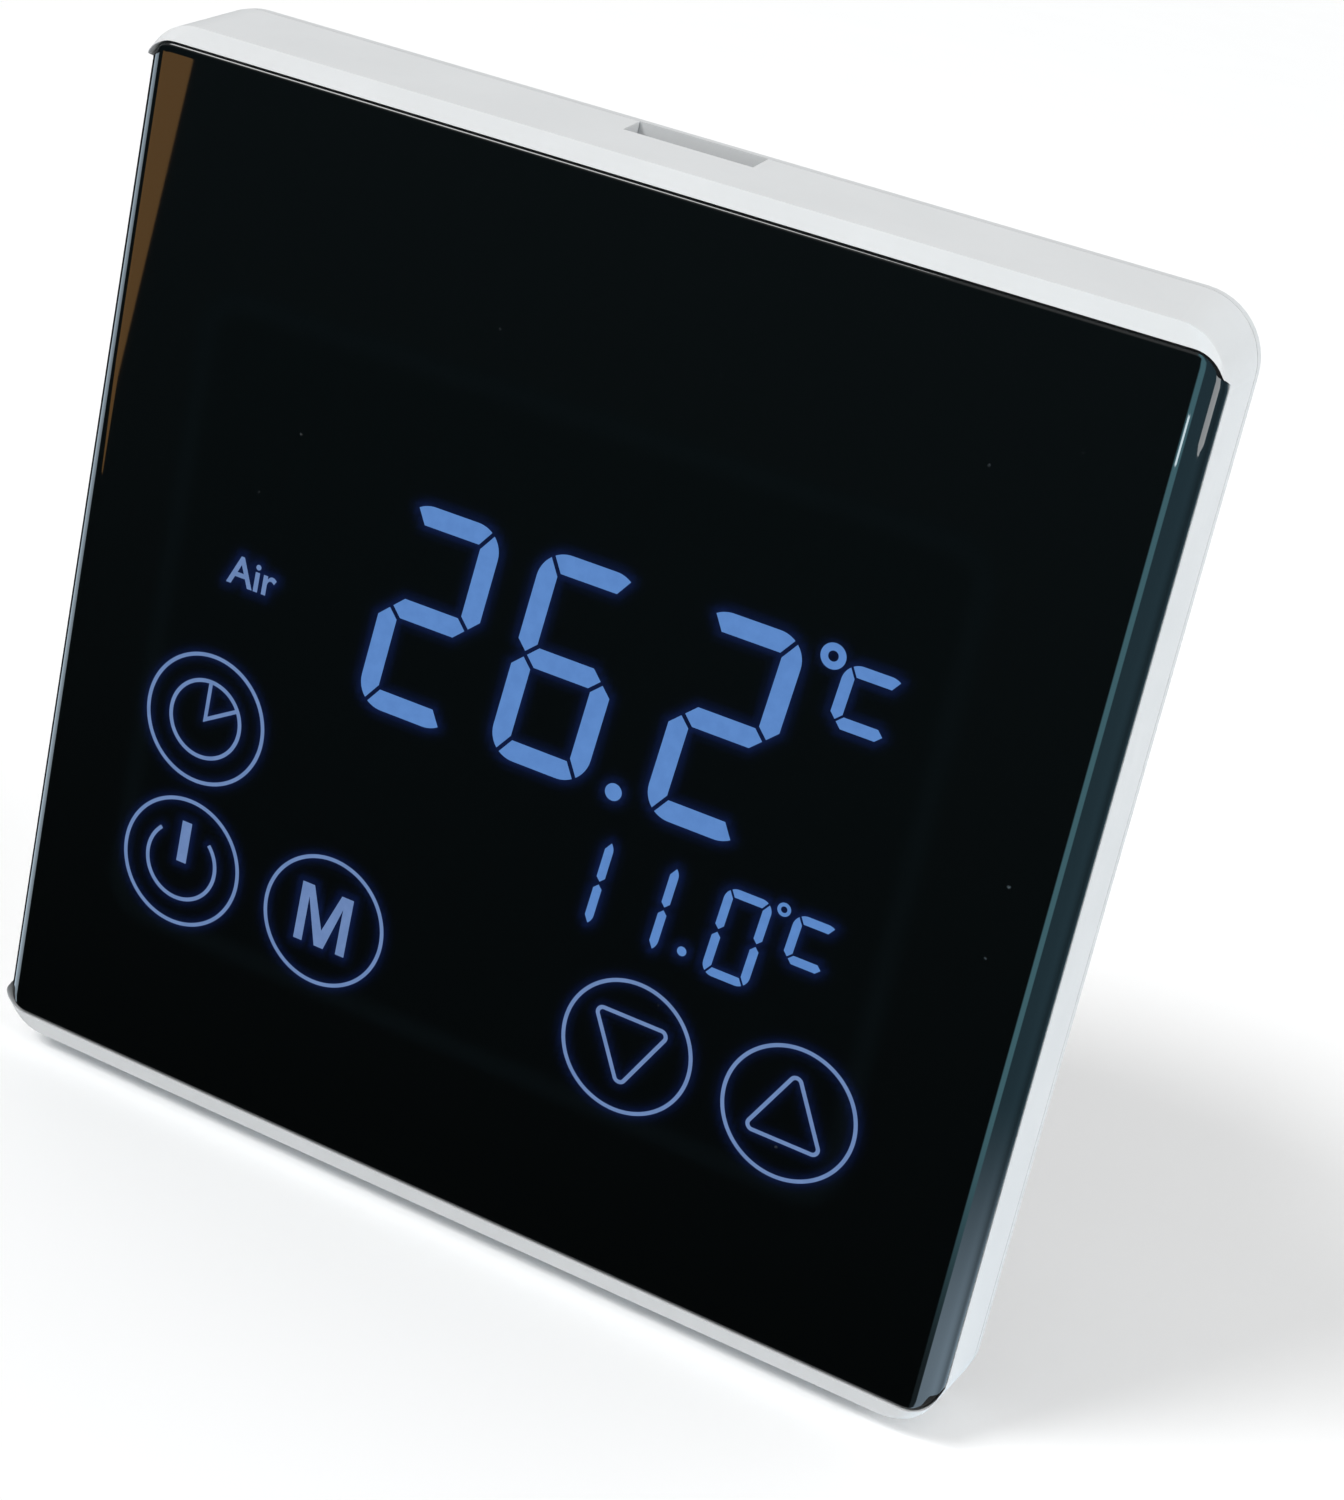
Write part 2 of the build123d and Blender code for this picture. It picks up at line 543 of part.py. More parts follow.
def rear_box():
    """Tub behind the wall plate, stepped at its foot for the terminals."""
    box = slab(BOX_WIDTH, BOX_HEIGHT, BOX_CORNER, -BOX_SEAT + GAP, BOX_DEPTH)
    box -= slab(RECESS_WIDTH, RECESS_HEIGHT, 1.0, -BOX_SEAT, BOX_BACK_INNER)
    outer = BOX_WIDTH / 2
    # step: solid shelf and partition, open behind and below them
    skin = BOX_WALL / 2
    box += block(-outer + skin, outer - skin, SHELF_FRONT, BOX_DEPTH - skin, BOX_FOOT + skin, STEP_Z)
    box -= block(-outer - GAP, outer + GAP, SHELF_BACK, BOX_DEPTH + GAP, BOX_FOOT - GAP, STEP_Z - BOX_WALL)
    box -= group(leg_holes(GAP, SHELF_FRONT, SHELF_BACK))
    # bosses behind the power board
    for x, z in CLAMP_SCREWS:
        box += rod(x, z, BOSS_RADIUS, POWER_BOARD_BACK, BOX_DEPTH - skin)
        box -= rod(x, z, CLAMP_SCREW_RADIUS, POWER_BOARD_BACK - GAP, CLAMP_SCREW_TIP + 0.5)
    # vents in both sides
    for i in range(VENT_SLITS):
        y = POWER_BOARD_BACK + VENT_PITCH * (i + 1)
        box -= block(-outer - GAP, outer + GAP, y - VENT_WIDTH / 2, y + VENT_WIDTH / 2, VENT_LOW, VENT_HIGH)
    return box


def box_screws():
    """Long screws from the tray's floor through the power board into the box."""
    screws = []
    for x, z in CLAMP_SCREWS:
        screw = rod(x, z, CLAMP_SCREW_RADIUS, RECESS_DEPTH, CLAMP_SCREW_TIP)
        screw += rod(x, z, CLAMP_HEAD_RADIUS, RECESS_DEPTH - CLAMP_HEAD, RECESS_DEPTH)
        head_front = RECESS_DEPTH - CLAMP_HEAD - GAP
        screws.append(screw - cross_slot(x, z, 1.3, 0.25, head_front, head_front + 0.8))
    return group(screws)


def power_board():
    width = RECESS_WIDTH - 2 * LOOSE
    board = slab(width, RECESS_HEIGHT - 2 * LOOSE, 1.5, POWER_BOARD_FRONT, POWER_BOARD_BACK)
    for x, z in CLAMP_SCREWS:
        board -= rod(x, z, CLAMP_SCREW_RADIUS + GAP, POWER_BOARD_FRONT - GAP, POWER_BOARD_BACK + GAP)
    return board - group(leg_holes(FIT, POWER_BOARD_FRONT, POWER_BOARD_BACK))


def pin_header():
    """Plastic bar that carries the pins, on the power board's front."""
    front = POWER_BOARD_FRONT - 2.5
    holes = group(pin_places(PIN_SIDE, front - GAP, POWER_BOARD_FRONT + GAP))
    return header_bar(front, POWER_BOARD_FRONT) - holes


def header_pins():
    return group(pin_places(PIN_SIDE, BOARD_BACK + 1.2, POWER_BOARD_FRONT))


def transformer_core():
    """Two E halves that meet in the coil: three legs joined top and bottom."""
    x, z = TRANSFORMER_X, TRANSFORMER_Z
    y0 = POWER_BOARD_BACK + CORE_LIFT
    y1 = y0 + CORE_RISE
    half = CORE_SIDE / 2
    core = block(x - half, x + half, y0, y1, z - CORE_THICK / 2, z + CORE_THICK / 2)
    for side in (-1, 1):
        low, high = sorted((x + side * CORE_MIDDLE / 2, x + side * (half - CORE_LEG)))
        core -= block(low, high, y0 + CORE_LEG, y1 - CORE_LEG, z - CORE_THICK, z + CORE_THICK)
    return core


def transformer_coil():
    """Winding on its bobbin round the core's middle leg, with four feet."""
    x, z = TRANSFORMER_X, TRANSFORMER_Z
    y0 = POWER_BOARD_BACK + CORE_LIFT + CORE_LEG
    y1 = y0 + CORE_RISE - 2 * CORE_LEG
    width = CORE_SIDE - 2 * (CORE_LEG + SLIDE_GAP)
    depth = CORE_THICK + 2 * WINDING
    coil = slab(width, depth, 1.5, y0 + FIT, y1 - FIT, x, z)
    half_x = CORE_MIDDLE / 2 + FIT
    half_z = CORE_THICK / 2 + FIT
    coil -= block(x - half_x, x + half_x, y0, y1, z - half_z, z + half_z)
    foot = 3.6
    for side in (-1, 1):
        middle = z + side * (depth - foot) / 2
        coil += block(x - 5.0, x + 5.0, POWER_BOARD_BACK, y0 + 0.5, middle - foot / 2, middle + foot / 2)
    return coil


def capacitors():
    """Round cans with a crimped neck above the foot."""
    cans = []
    for z in CAPACITOR_ZS:
        can = rod(CAPACITOR_X, z, CAPACITOR_RADIUS, POWER_BOARD_BACK, POWER_BOARD_BACK + CAPACITOR_RISE)
        neck = rod(CAPACITOR_X, z, CAPACITOR_RADIUS + 1, POWER_BOARD_BACK + 1.2, POWER_BOARD_BACK + 1.8)
        neck -= rod(CAPACITOR_X, z, CAPACITOR_RADIUS - 0.35, POWER_BOARD_BACK + 1.1, POWER_BOARD_BACK + 1.9)
        cans.append(can - neck)
    return group(cans)


def rectifier():
    body = slab(6.4, 5.0, 0.4, POWER_BOARD_BACK, POWER_BOARD_BACK + 2.4, 11.5, 4.6)
    for x in (10.2, 12.8):
        body += block(x - 0.4, x + 0.4, POWER_BOARD_BACK, POWER_BOARD_BACK + 0.3, 1.1, 8.1)
    return body


def varistor():
    """Coated disc that stands on edge on two legs."""
    disc = Pos(-13.0, POWER_BOARD_BACK + 6.5, 4.6) * Cylinder(4.5, 3.4)
    disc = fillet(disc.edges(), 1.2)
    for x in (-15.0, -11.0):
        disc += block(x - 0.3, x + 0.3, POWER_BOARD_BACK, POWER_BOARD_BACK + 5.0, 4.3, 4.9)
    return disc


def fuse():
    body = slab(8.4, 4.2, 0.8, POWER_BOARD_BACK, POWER_BOARD_BACK + 7.7, -1.0, 4.6)
    return body


# ---- relay --------------------------------------------------------------------------
RELAY_WORKS = POWER_BOARD_BACK + RELAY_BASE_THICK
RELAY_X0 = -RELAY_LENGTH / 2
RELAY_X1 = RELAY_LENGTH / 2
RELAY_Z0 = RELAY_Z - RELAY_HEIGHT / 2
RELAY_Z1 = RELAY_Z + RELAY_HEIGHT / 2
YOKE_X0 = RELAY_X0 + RELAY_WALL + 0.5
COIL_X0 = YOKE_X0 + YOKE + GAP
COIL_X1 = COIL_X0 + COIL_LENGTH
COIL_AXIS_Y = RELAY_WORKS + 0.6 + COIL_RADIUS
YOKE_FRONT = COIL_AXIS_Y + COIL_RADIUS + 0.5
YOKE_BACK = YOKE_FRONT + YOKE
ARMATURE_X = COIL_X1 + POLE_RISE + 0.8
CONTACT_X = ARMATURE_X + CONTACT_REACH
MOVING_FACE = YOKE_FRONT - CONTACT_THICK
FIXED_FACE = MOVING_FACE - CONTACT_GAP


def relay_base():
    return block(RELAY_X0, RELAY_X1, POWER_BOARD_BACK, RELAY_WORKS, RELAY_Z0, RELAY_Z1)


def relay_case():
    """Cover over the relay's works."""
    back = POWER_BOARD_BACK + RELAY_RISE
    case = block(RELAY_X0, RELAY_X1, RELAY_WORKS, back, RELAY_Z0, RELAY_Z1)
    w = RELAY_WALL
    return case - block(RELAY_X0 + w, RELAY_X1 - w, RELAY_WORKS - GAP, back - w, RELAY_Z0 + w, RELAY_Z1 - w)


def relay_coil():
    """Winding between two cheeks, on a core whose pole faces the armature."""
    turn = Pos(COIL_X0, COIL_AXIS_Y, RELAY_Z) * Rot(0, 90, 0)
    cheek = 0.7
    coil = turn * Pos(0, 0, COIL_LENGTH / 2) * Cylinder(COIL_RADIUS - 0.5, COIL_LENGTH)
    for along in (cheek / 2, COIL_LENGTH - cheek / 2):
        coil += turn * Pos(0, 0, along) * Cylinder(COIL_RADIUS, cheek)
    pole = COIL_LENGTH + POLE_RISE
    return coil + turn * Pos(0, 0, pole / 2) * Cylinder(CORE_RADIUS, pole)


def relay_yoke():
    """L of iron: a foot beside the coil and an arm behind it, out to the armature."""
    half = COIL_RADIUS
    arm = block(YOKE_X0, ARMATURE_X - 2 * FIT, YOKE_FRONT, YOKE_BACK, RELAY_Z - half, RELAY_Z + half)
    foot = block(YOKE_X0, YOKE_X0 + YOKE, RELAY_WORKS, YOKE_BACK, RELAY_Z - half, RELAY_Z + half)
    return arm + foot


def relay_armature():
    """Iron flap that rocks on the end of the yoke's arm, with an arm that carries the moving contact."""
    half = COIL_RADIUS - GAP
    flap_x1 = ARMATURE_X + ARMATURE_THICK
    flap = block(ARMATURE_X, flap_x1, COIL_AXIS_Y - 3.0, YOKE_BACK, RELAY_Z - half, RELAY_Z + half)
    arm_x1 = CONTACT_X + CONTACT_RADIUS
    arm = block(flap_x1 - GAP, arm_x1, YOKE_FRONT, YOKE_FRONT + ARM_THICK, RELAY_Z - 2.0, RELAY_Z + 2.0)
    return flap + arm + rod(CONTACT_X, RELAY_Z, CONTACT_RADIUS, MOVING_FACE, YOKE_FRONT + GAP)


def relay_contacts():
    """Fixed contact on its post, in front of the moving one."""
    seat = FIXED_FACE - CONTACT_THICK
    post = block(CONTACT_X - 0.6, CONTACT_X + 0.6, RELAY_WORKS, seat, RELAY_Z - 2.0, RELAY_Z + 2.0)
    return post + rod(CONTACT_X, RELAY_Z, CONTACT_RADIUS, seat, FIXED_FACE)


# ---- terminals ----------------------------------------------------------------------
BLOCK_FRONT = SHELF_BACK
BLOCK_BACK = BLOCK_FRONT + 14.6
BLOCK_Z1 = STEP_Z - BOX_WALL - GAP
BLOCK_Z0 = BOX_FOOT + 0.5
CELL_Z_MID = BLOCK_Z0 + 5.6
FLOOR = 1.0
CAGE_FRONT = BLOCK_FRONT + FLOOR + 0.2
CAGE_LOWER = 0.8
WIRE_GAP = CLAMP_TRAVEL + GAP
BAR_FRONT = CAGE_FRONT + CAGE_LOWER + WIRE_GAP
BAR_THICK = 1.0
BAR_BACK = BAR_FRONT + BAR_THICK
CAGE_UPPER_FRONT = BAR_BACK + LOOSE
CAGE_UPPER = 1.9
CAGE_BACK = CAGE_UPPER_FRONT + CAGE_UPPER
HEAD_FRONT = CAGE_BACK + CLAMP_TRAVEL + LOOSE
HEAD_BACK = HEAD_FRONT + 1.8
BAR_HALF_X = CAGE_WIDTH / 2 - CAGE_SIDE - GAP
BAR_Z0 = CELL_Z_MID - CAGE_HEIGHT / 2 - 0.8
LEG_HALF_X = 0.6
LEG_Z1 = CELL_Z_MID + CAGE_HEIGHT / 2 + 1.6
LEG_Z0 = LEG_Z1 - 0.9


def terminal_x(i):
    return (i - (TERMINALS - 1) / 2) * TERMINAL_PITCH


def leg_holes(room, front, back):
    """A hole for each terminal's leg, cut right through from front to back."""
    half = LEG_HALF_X + room
    xs = [terminal_x(i) for i in range(TERMINALS)]
    return [block(x - half, x + half, front - GAP, back + GAP, LEG_Z0 - room, LEG_Z1 + room) for x in xs]


def terminal_block():
    """Row of cells: a screw well behind, a cage chamber, a bar slot and a wire entry below."""
    half = TERMINALS * TERMINAL_PITCH / 2
    body = block(-half, half, BLOCK_FRONT, BLOCK_BACK, BLOCK_Z0, BLOCK_Z1)
    chamber_x = CAGE_WIDTH / 2 + SLIDE_GAP
    chamber_z = CAGE_HEIGHT / 2 + SLIDE_GAP
    chamber_back = HEAD_FRONT - SLIDE_GAP
    well = SCREW_HEAD_RADIUS + SLIDE_GAP
    z = CELL_Z_MID
    for i in range(TERMINALS):
        x = terminal_x(i)
        x0, x1 = x - chamber_x, x + chamber_x
        body -= block(x0, x1, BLOCK_FRONT + FLOOR, chamber_back, z - chamber_z, z + chamber_z)
        body -= rod(x, z, well, chamber_back - GAP, BLOCK_BACK + GAP)
        x0, x1 = x - BAR_HALF_X, x + BAR_HALF_X
        body -= block(x0, x1, BAR_FRONT, BAR_BACK, BAR_Z0, LEG_Z1)
        body -= block(x - LEG_HALF_X, x + LEG_HALF_X, BLOCK_FRONT - GAP, BAR_BACK, LEG_Z0, LEG_Z1)
        body -= block(x0, x1, BAR_FRONT - WIRE_GAP, BAR_FRONT, BLOCK_Z0 - GAP, z)
    return body


def terminal_bars():
    """Fixed bars through the cages, each with a leg soldered into the power board."""
    bars = []
    for i in range(TERMINALS):
        x = terminal_x(i)
        bar = block(x - BAR_HALF_X, x + BAR_HALF_X, BAR_FRONT, BAR_BACK, BAR_Z0, LEG_Z1)
        bar += block(x - LEG_HALF_X, x + LEG_HALF_X, POWER_BOARD_FRONT - 0.5, BAR_BACK, LEG_Z0, LEG_Z1)
        bars.append(bar)
    return group(bars)


def terminal_screw(i):
    """Slotted screw that turns in its cage and bears on the bar."""
    x, z = terminal_x(i), CELL_Z_MID
    screw = rod(x, z, SCREW_RADIUS, BAR_BACK + FIT, HEAD_FRONT)
    screw += rod(x, z, SCREW_HEAD_RADIUS, HEAD_FRONT, HEAD_BACK)
    across = 2 * SCREW_HEAD_RADIUS
    return screw - block(x - across, x + across, HEAD_BACK - 0.9, HEAD_BACK + GAP, z - 0.4, z + 0.4)


def terminal_clamp(i):
    """Square cage that the screw draws back to grip the wire under the bar."""
    x = terminal_x(i)
    half_x = CAGE_WIDTH / 2
    half_z = CAGE_HEIGHT / 2
    cage = block(x - half_x, x + half_x, CAGE_FRONT, CAGE_BACK, CELL_Z_MID - half_z, CELL_Z_MID + half_z)
    cage -= block(
        x - half_x + CAGE_SIDE, x + half_x - CAGE_SIDE,
        CAGE_FRONT + CAGE_LOWER, CAGE_UPPER_FRONT, CELL_Z_MID - half_z - GAP, CELL_Z_MID + half_z + GAP,
    )
    return cage - rod(x, CELL_Z_MID, SCREW_RADIUS + FIT, CAGE_UPPER_FRONT - GAP, CAGE_BACK + GAP)


# ---- write every piece --------------------------------------------------------------
PIECES = [
    touch_panel, front_housing, panel_adhesive, touch_film, tail_connector,
    lcd_front_glass, lcd_rear_glass, lcd_pins, lcd_holder, backlight_block, backlight_leds,
    display_board, display_board_screws, control_chip, board_socket, buzzer,
    clock_cell, cell_holder, crystal, air_sensor,
    wall_plate, rear_box, box_screws, power_board, pin_header, header_pins,
    transformer_core, transformer_coil, capacitors, rectifier, varistor, fuse,
    relay_base, relay_case, relay_coil, relay_yoke, relay_armature, relay_contacts,
    terminal_block, terminal_bars,
]

os.makedirs("parts", exist_ok=True)
for make in PIECES:
    save(make(), make.__name__)
for number in range(TERMINALS):
    save(terminal_screw(number), f"terminal_screw_{number + 1}")
    save(terminal_clamp(number), f"terminal_clamp_{number + 1}")
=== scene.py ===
import math

import bpy
import bmesh
import numpy as np
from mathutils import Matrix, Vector


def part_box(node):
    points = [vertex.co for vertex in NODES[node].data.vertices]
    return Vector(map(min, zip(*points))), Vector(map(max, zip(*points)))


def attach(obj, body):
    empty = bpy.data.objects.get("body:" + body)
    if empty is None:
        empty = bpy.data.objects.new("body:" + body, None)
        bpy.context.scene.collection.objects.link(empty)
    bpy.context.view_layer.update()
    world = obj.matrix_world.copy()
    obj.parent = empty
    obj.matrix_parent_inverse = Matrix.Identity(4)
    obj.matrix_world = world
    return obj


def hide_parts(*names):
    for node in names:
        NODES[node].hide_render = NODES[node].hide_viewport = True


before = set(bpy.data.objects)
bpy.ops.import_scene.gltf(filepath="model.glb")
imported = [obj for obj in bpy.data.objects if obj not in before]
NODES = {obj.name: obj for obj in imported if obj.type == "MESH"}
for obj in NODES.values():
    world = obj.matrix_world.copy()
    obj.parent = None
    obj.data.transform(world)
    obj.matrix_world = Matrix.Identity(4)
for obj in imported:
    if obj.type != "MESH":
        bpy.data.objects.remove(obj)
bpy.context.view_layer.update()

# Everything is worked out in millimetres and written into the meshes in metres.
MM = 0.001


def sizes(node):
    """A node's lowest and highest corners, in millimetres."""
    low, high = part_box(node)
    return np.array(low) / MM, np.array(high) / MM


PANEL_LOW, PANEL_HIGH = sizes("touch_panel")
HOUSING_LOW, HOUSING_HIGH = sizes("front_housing")
GLASS_LOW, GLASS_HIGH = sizes("lcd_front_glass")
PANEL_FACE = PANEL_LOW[1]


# ---------------------------------------------------------------- finishes

class Link:
    """An output socket of a finish. Sums and products of links add their own Math nodes."""

    def __init__(self, tree, socket=None):
        self.tree = tree
        self.socket = socket

    def node(self, kind, settings=None, sockets=None, out=0):
        """Adds a node of a kind, with its settings and then the values or links of its sockets."""
        made = self.tree.nodes.new(kind)
        for name, value in (settings or {}).items():
            if name == "stops":
                ramp = made.color_ramp
                while len(ramp.elements) < len(value):
                    ramp.elements.new(0.5)
                for element, (place, colour) in zip(ramp.elements, value):
                    element.position = place
                    element.color = (*colour, 1.0)
            else:
                setattr(made, name, value)
        for name, value in (sockets or {}).items():
            entry = made.inputs[name]
            if isinstance(value, Link):
                self.tree.links.new(value.socket, entry)
            else:
                entry.default_value = value
        return Link(self.tree, made.outputs[out] if len(made.outputs) else None)

    def sum_of(self, operation, *values):
        return self.node("ShaderNodeMath", {"operation": operation}, dict(enumerate(values)))

    def __add__(self, other):
        return self.sum_of("ADD", self, other)

    def __radd__(self, other):
        return self.sum_of("ADD", other, self)

    def __sub__(self, other):
        return self.sum_of("SUBTRACT", self, other)

    def __rsub__(self, other):
        return self.sum_of("SUBTRACT", other, self)

    def __mul__(self, other):
        return self.sum_of("MULTIPLY", self, other)

    def __rmul__(self, other):
        return self.sum_of("MULTIPLY", other, self)

    def __truediv__(self, other):
        return self.sum_of("DIVIDE", self, other)

    def __abs__(self):
        return self.sum_of("ABSOLUTE", self)

    def step(self, low, high):
        """0 below low, 1 above high, smooth between them; low above high turns it round."""
        lift = self.node(
            "ShaderNodeMapRange", {"interpolation_type": "SMOOTHSTEP"},
            {0: self, 1: min(low, high), 2: max(low, high), 3: 0.0, 4: 1.0})
        return lift if low < high else 1.0 - lift

    def tint(self, low, high):
        """A colour that goes from low to high as this link goes from 0 to 1."""
        return self.node(
            "ShaderNodeMix", {"data_type": "RGBA"},
            {0: self, 6: (*low, 1.0), 7: high if isinstance(high, Link) else (*high, 1.0)}, out=2)

    def over(self, base, colour):
        """colour where this link is 1, base where it is 0."""
        base = base if isinstance(base, Link) else (*base, 1.0)
        colour = colour if isinstance(colour, Link) else (*colour, 1.0)
        return self.node("ShaderNodeMix", {"data_type": "RGBA"}, {0: self, 6: base, 7: colour}, out=2)


def new_finish(name):
    """An empty material, and the link that its nodes grow from."""
    finish = bpy.data.materials.new(name)
    finish.use_nodes = True
    finish.node_tree.nodes.clear()
    return finish, Link(finish.node_tree)


def place_of(start):
    """Object coordinates in millimetres, as a vector and as its three parts."""
    place = start.node("ShaderNodeTexCoord", out="Object")
    place = start.node("ShaderNodeVectorMath", {"operation": "SCALE"}, {0: place, "Scale": 1 / MM})
    apart = [start.node("ShaderNodeSeparateXYZ", {}, {0: place}, out=i) for i in range(3)]
    return place, apart


def speckle(start, place, size, detail=2.0, stretch=None):
    """Cloudy noise whose lumps are size mm across, from 0 to 1."""
    if stretch:
        place = start.node("ShaderNodeVectorMath", {"operation": "MULTIPLY"}, {0: place, 1: stretch})
    return start.node(
        "ShaderNodeTexNoise", {"noise_dimensions": "3D"},
        {"Vector": place, "Scale": 1.0 / size, "Detail": detail, "Roughness": 0.55})


def bumped(start, height, depth):
    """A normal raised by height, which is depth mm at 1."""
    return start.node("ShaderNodeBump", {}, {"Strength": 1.0, "Distance": depth * MM, "Height": height})


def close_finish(start, colour, roughness, normal=None, **constants):
    """The surface shader, its output, and the values that are the same all over."""
    sockets = {"Base Color": colour if isinstance(colour, Link) else (*colour, 1.0), "Roughness": roughness}
    if normal is not None:
        sockets["Normal"] = normal
    for name, value in constants.items():
        sockets[name.replace("_", " ")] = value
    shader = start.node("ShaderNodeBsdfPrincipled", {}, sockets)
    start.node("ShaderNodeOutputMaterial", {}, {"Surface": shader})


def moulding(name, colour, roughness=0.4, grain=0.18, grain_depth=0.006, mottle=0.03, **constants):
    """Injection moulded plastic: spark-eroded grain, faint flow clouds, and scuffs in its gloss."""
    finish, start = new_finish(name)
    place, _ = place_of(start)
    clouds = speckle(start, place, 9.0, 3.0)
    dark = tuple(c * (1 - mottle) for c in colour)
    light = tuple(min(1.0, c * (1 + mottle)) for c in colour)
    eroded = speckle(start, place, grain, 2.0)
    scuffs = speckle(start, place, 2.2, 4.0, (1.0, 1.0, 0.35)).step(0.52, 0.74)
    close_finish(
        start, clouds.step(0.3, 0.7).tint(dark, light), roughness + 0.07 * eroded + 0.09 * scuffs,
        bumped(start, eroded, grain_depth), **constants)
    return finish


def metal(name, colour, roughness=0.3, streak=(1.0, 1.0, 0.08), tarnish=None):
    """Plated or stamped metal: fine drawn streaks, with tarnish gathered in clouds."""
    finish, start = new_finish(name)
    place, _ = place_of(start)
    drawn = speckle(start, place, 0.14, 2.0, streak)
    stain = speckle(start, place, 2.6, 4.0).step(0.45, 0.75)
    tarnish = tarnish or tuple(c * 0.72 for c in colour)
    close_finish(
        start, (0.7 * stain).tint(colour, tarnish), roughness + 0.16 * drawn + 0.15 * stain,
        bumped(start, drawn, 0.004), Metallic=1.0)
    return finish


TRACK_PITCH = 0.9
HOLE_PITCH = 2.54


def board_finish(name):
    """A lacquered circuit board: tracks run as ridges under green lacquer, with tinned rings round holes whose
    bores are painted black as shade.
    """
    finish, start = new_finish(name)
    place, (x, _, z) = place_of(start)

    def lines(along, size, stretch):
        """Parallel tracks that are counted along an axis, in patches about size mm across."""
        bend = speckle(start, place, size, 0.0, stretch)
        run = along.sum_of("FRACT", along / TRACK_PITCH + 3.0 * bend.step(0.49, 0.51))
        patch = speckle(start, place, size * 1.3, 0.0, stretch).step(0.44, 0.46)
        return abs(run - 0.5).step(0.22, 0.17) * patch

    def from_grid(along):
        """Distance to the nearest line of holes, in pitches."""
        return along.sum_of("FRACT", along / HOLE_PITCH + 0.5) - 0.5

    upright = lines(x, 7.0, (1.0, 0.1, 0.45))
    level = lines(z, 6.0, (0.45, 0.1, 1.0))
    turned = speckle(start, place, 11.0, 0.0, (1.0, 0.1, 1.0)).step(0.49, 0.5)
    tracks = upright * turned + level * (1.0 - turned)
    reach = start.node(
        "ShaderNodeVectorMath", {"operation": "LENGTH"},
        {0: start.node("ShaderNodeCombineXYZ", {}, {0: from_grid(x), 2: from_grid(z)})}, out="Value")
    here = speckle(start, place, 5.0, 0.0, (0.9, 0.1, 0.7)).step(0.56, 0.57)
    ring = reach.step(0.26, 0.24) * here
    shaded_hole = reach.step(0.13, 0.11) * here
    green = tracks.tint((0.006, 0.075, 0.03), (0.012, 0.15, 0.055))
    # painted shade: the bore inside each tinned ring is painted near black
    colour = shaded_hole.over(ring.over(green, (0.62, 0.6, 0.55)), (0.004, 0.004, 0.004))
    close_finish(
        start, colour, 0.24 + 0.2 * speckle(start, place, 1.5, 3.0),
        bumped(start, tracks + 1.2 * ring - 2.0 * shaded_hole, 0.035),
        Metallic=0.0, Coat_Weight=0.25, Coat_Roughness=0.12)
    return finish


def wound_finish(name, colour, groove_shade_colour, pitch, axis, roughness=0.3, metallic=0.0):
    """Turns of wire or tape laid side by side along an axis (0, 1 or 2), with painted shade darkening the
    grooves between turns.
    """
    finish, start = new_finish(name)
    place, apart = place_of(start)
    wander = 0.25 * speckle(start, place, 3.0, 2.0)
    turn = start.sum_of("FRACT", apart[axis] / pitch + wander)
    crown = 1.0 - 4.0 * (turn - 0.5) * (turn - 0.5)
    # painted shade: each turn darkens from its crown towards the grooves at its sides
    close_finish(
        start, crown.step(0.0, 0.6).tint(groove_shade_colour, colour), roughness + 0.15 * speckle(start, place, 0.8),
        bumped(start, crown, pitch * 0.35), Metallic=metallic)
    return finish


def sleeve_finish(name):
    """A capacitor's shrunk sleeve: dark film with one pale stripe down its side, and creases at its rim."""
    finish, start = new_finish(name)
    place, (x, y, _) = place_of(start)
    aside = abs(x - CAPACITOR_SIDE)
    stripe = aside.step(1.25, 1.1)
    dashes = start.sum_of("FRACT", y / 3.2).step(0.3, 0.34) * aside.step(0.3, 0.25)
    body = stripe.tint((0.012, 0.014, 0.03), (0.42, 0.44, 0.47))
    colour = (dashes * stripe).over(body, (0.02, 0.022, 0.05))
    creases = speckle(start, place, 1.2, 3.0, (1.0, 0.2, 1.0))
    close_finish(start, colour, 0.22 + 0.14 * creases, bumped(start, creases, 0.03))
    return finish


ACRYLIC_SHINE = 0.42
WINDOW_MARGIN = 1.25
WINDOW_CORNER = 4.0


